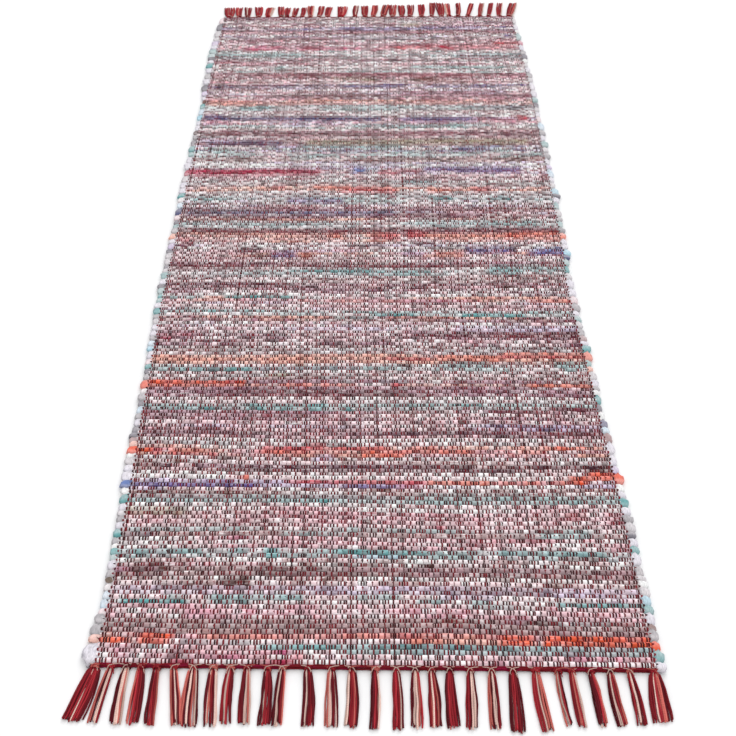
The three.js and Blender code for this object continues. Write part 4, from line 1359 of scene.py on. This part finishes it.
def headerCords(end):
    # gathered warps that run along the cloth's edge from knot to knot
    form = headerForm
    knots = knotPlaces(end)
    x = np.linspace(knots[0] - form["past"], knots[-1] + form["past"], 7 * len(knots))
    nearest = np.abs(x[:, None] - knots).min(1)
    (wander, wanderLength), (rise, riseLength) = form["wander"], form["rise"]
    one, other = (dyes[dye] * bright for dye, bright in form["dyes"])
    found = []
    for number, (out, z, radius) in enumerate(form["cords"]):
        pull = form["pull"] * np.exp(-(nearest / form["pullWide"]) ** 2) * out / form["pullFull"]
        out = out + pull + wander * drift(x, wanderLength, number + 80)
        y = edgeAt(clothPlan[end["edge"]], x) + end["direction"] * out
        lift = z + rise * drift(x, riseLength, number + 90)
        dye = mixed(one, other, eased(0.3 + drift(x, form["dyeLength"], number + 70)))
        found.append(strand(np.stack([x, y, lift], 1), radius, radius, dye))
    return found


# A knot: turns of yarn that cross over one another round a tassel's neck.
knotForm = {
    "wide": 4.4,
    "high": 2.6,
    "middle": 3.5,
    "turns": 2.4,
    "start": -0.1,  # in turns
    "spread": 2.2,  # how far along the tassel the turns wander
    "waves": 1.5,  # in this many waves
    "swell": (0.08, 19),  # how far the turns swell, and at what pace
    "yarn": 0.85,
    "points": 30,
    "slant": 0.35,
    "dyes": "yarnWine yarnRed yarnWine yarnDark yarnWine yarnRed yarnCoral".split(),
}


def knotObject(form):
    # round the origin, with the tassel along Y
    share = np.linspace(0, 1, form["points"])
    turn = 2 * np.pi * (form["turns"] * share + form["start"])
    along = form["spread"] * np.sin(2 * np.pi * share * form["waves"] + 0.4)
    far, pace = form["swell"]
    swell = 1 + far * np.sin(share * pace)
    x = form["wide"] * swell * np.cos(turn)
    z = form["middle"] + form["high"] * swell * np.sin(turn)
    path = strand(np.stack([x, along, z], 1) - toFrame, form["yarn"], form["yarn"], dyes["white"])
    knot = sweep("knot", [path], fringeForm["sides"], twistedYarn, ridgeUp)
    for name in ("dye", "fleck"):
        knot.data.attributes.remove(knot.data.attributes[name])
    knot.data.uv_layers.remove(knot.data.uv_layers["OFBake"])
    return knot


def makeKnotTree():
    tree, given, result = makeGroup(
        "knotsOnPoints", "GeometryNodeTree",
        [("Points", "NodeSocketGeometry", None), ("Knot", "NodeSocketObject", None),
         ("Least Size", "NodeSocketFloat", 0.9), ("Most Size", "NodeSocketFloat", 1.15),
         ("Slant", "NodeSocketFloat", 0.25), ("Seed", "NodeSocketInt", 4),
         ("Finish", "NodeSocketMaterial", None)],
        [("Knots", "NodeSocketGeometry")],
    )
    knot = put(tree, "GeometryNodeObjectInfo", {"Object": given.outputs["Knot"]})
    size = put(tree, "FunctionNodeRandomValue", data_type="FLOAT")
    tree.links.new(given.outputs["Least Size"], size.inputs[2])
    tree.links.new(given.outputs["Most Size"], size.inputs[3])
    tree.links.new(given.outputs["Seed"], size.inputs["Seed"])
    turn = put(tree, "FunctionNodeRandomValue", data_type="FLOAT")
    tree.links.new(calc(tree, "MULTIPLY", given.outputs["Slant"], -1.0), turn.inputs[2])
    tree.links.new(given.outputs["Slant"], turn.inputs[3])
    tree.links.new(calc(tree, "ADD", given.outputs["Seed"], 1.0), turn.inputs["Seed"])
    rotation = put(tree, "ShaderNodeCombineXYZ", {"Z": turn.outputs[1]})
    placed = put(tree, "GeometryNodeInstanceOnPoints", {
        "Points": given.outputs["Points"], "Instance": knot.outputs["Geometry"],
        "Rotation": rotation.outputs[0], "Scale": size.outputs[1],
    })
    real = put(tree, "GeometryNodeRealizeInstances", {"Geometry": placed.outputs["Instances"]})
    dressed = put(tree, "GeometryNodeSetMaterial", {
        "Geometry": real.outputs["Geometry"], "Material": given.outputs["Finish"],
    })
    tree.links.new(dressed.outputs["Geometry"], result.inputs["Knots"])
    return tree


knotTree = makeKnotTree()


def tieKnots(name, end, knot):
    # each knot sits where its tassel leaves the header, in one of the yarns' dyes
    x = knotPlaces(end)
    y = edgeAt(clothPlan[end["edge"]], x) + end["direction"] * (fringeForm["knotOut"] - 1)
    mesh = bpy.data.meshes.new(name)
    mesh.from_pydata([tuple(p) for p in (np.stack([x, y, 0 * x], 1) + toFrame) * mm], [], [])
    drawn = [int((uneven(i, end["salt"] + 51) + 1) * 3.49) for i in range(len(x))]
    dye = np.array([dyes[knotForm["dyes"][number]] for number in drawn])
    storeColour(mesh, "dye", dye)
    source = bpy.data.objects.new(name, mesh)
    scene.collection.objects.link(source)
    given = {"Knot": knot, "Slant": knotForm["slant"], "Seed": end["salt"], "Finish": twistedYarn}
    piece = bpy.data.objects.new(name, evaluated(source, knotTree, given))
    scene.collection.objects.link(piece)
    return piece


knot = knotObject(knotForm)

for name, end in fringeEnds.items():
    yarns = [yarn for k in range(len(end["tassels"])) for yarn in tassel(end, k)] + headerCords(end)
    hung = sweep("fringe_yarns_" + name, yarns, fringeForm["sides"], twistedYarn)
    tied = tieKnots("fringe_knots_" + name, end, knot)
    for piece in (hung, tied):
        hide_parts("fringe_" + name)
        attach(piece, "root")
    print("fringe", name, "hung:", [len(piece.data.polygons) for piece in (hung, tied)], "faces")
bpy.data.objects.remove(knot)

floorPlan = {"size": 14.0, "colour": (0.86, 0.86, 0.865)}  # the size is in metres


def makeFloor(plan):
    half = plan["size"] / 2
    mesh = bpy.data.meshes.new("floor")
    corners = [(-half, -half, 0), (half, -half, 0), (half, half, 0), (-half, half, 0)]
    mesh.from_pydata(corners, [], [(0, 1, 2, 3)])
    floor = bpy.data.objects.new("floor", mesh)
    scene.collection.objects.link(floor)
    material, shader = newMaterial("paleFloor")[::2]
    shader.inputs["Base Color"].default_value = (*plan["colour"], 1)
    shader.inputs["Roughness"].default_value = 0.9
    shader.inputs["Specular IOR Level"].default_value = 0.1
    mesh.materials.append(material)


lightPlan = {
    "sky": 0.98,
    "sun": {"from": (0.25, 1.0, 0.5), "spread": 35, "strength": 1.7},  # spread in degrees
}


def makeLight(plan):
    world = bpy.data.worlds.new("studio")
    world.use_nodes = True
    sky = world.node_tree.nodes["Background"]
    sky.inputs["Color"].default_value = (1, 1, 1, 1)
    sky.inputs["Strength"].default_value = plan["sky"]
    scene.world = world
    sun = plan["sun"]
    data = bpy.data.lights.new("window", "SUN")
    data.angle, data.energy = math.radians(sun["spread"]), sun["strength"]
    lamp = bpy.data.objects.new("window", data)
    lamp.rotation_euler = (-Vector(sun["from"])).to_track_quat("-Z", "Y").to_euler()
    scene.collection.objects.link(lamp)


makeFloor(floorPlan)
makeLight(lightPlan)
print("floor and light made")
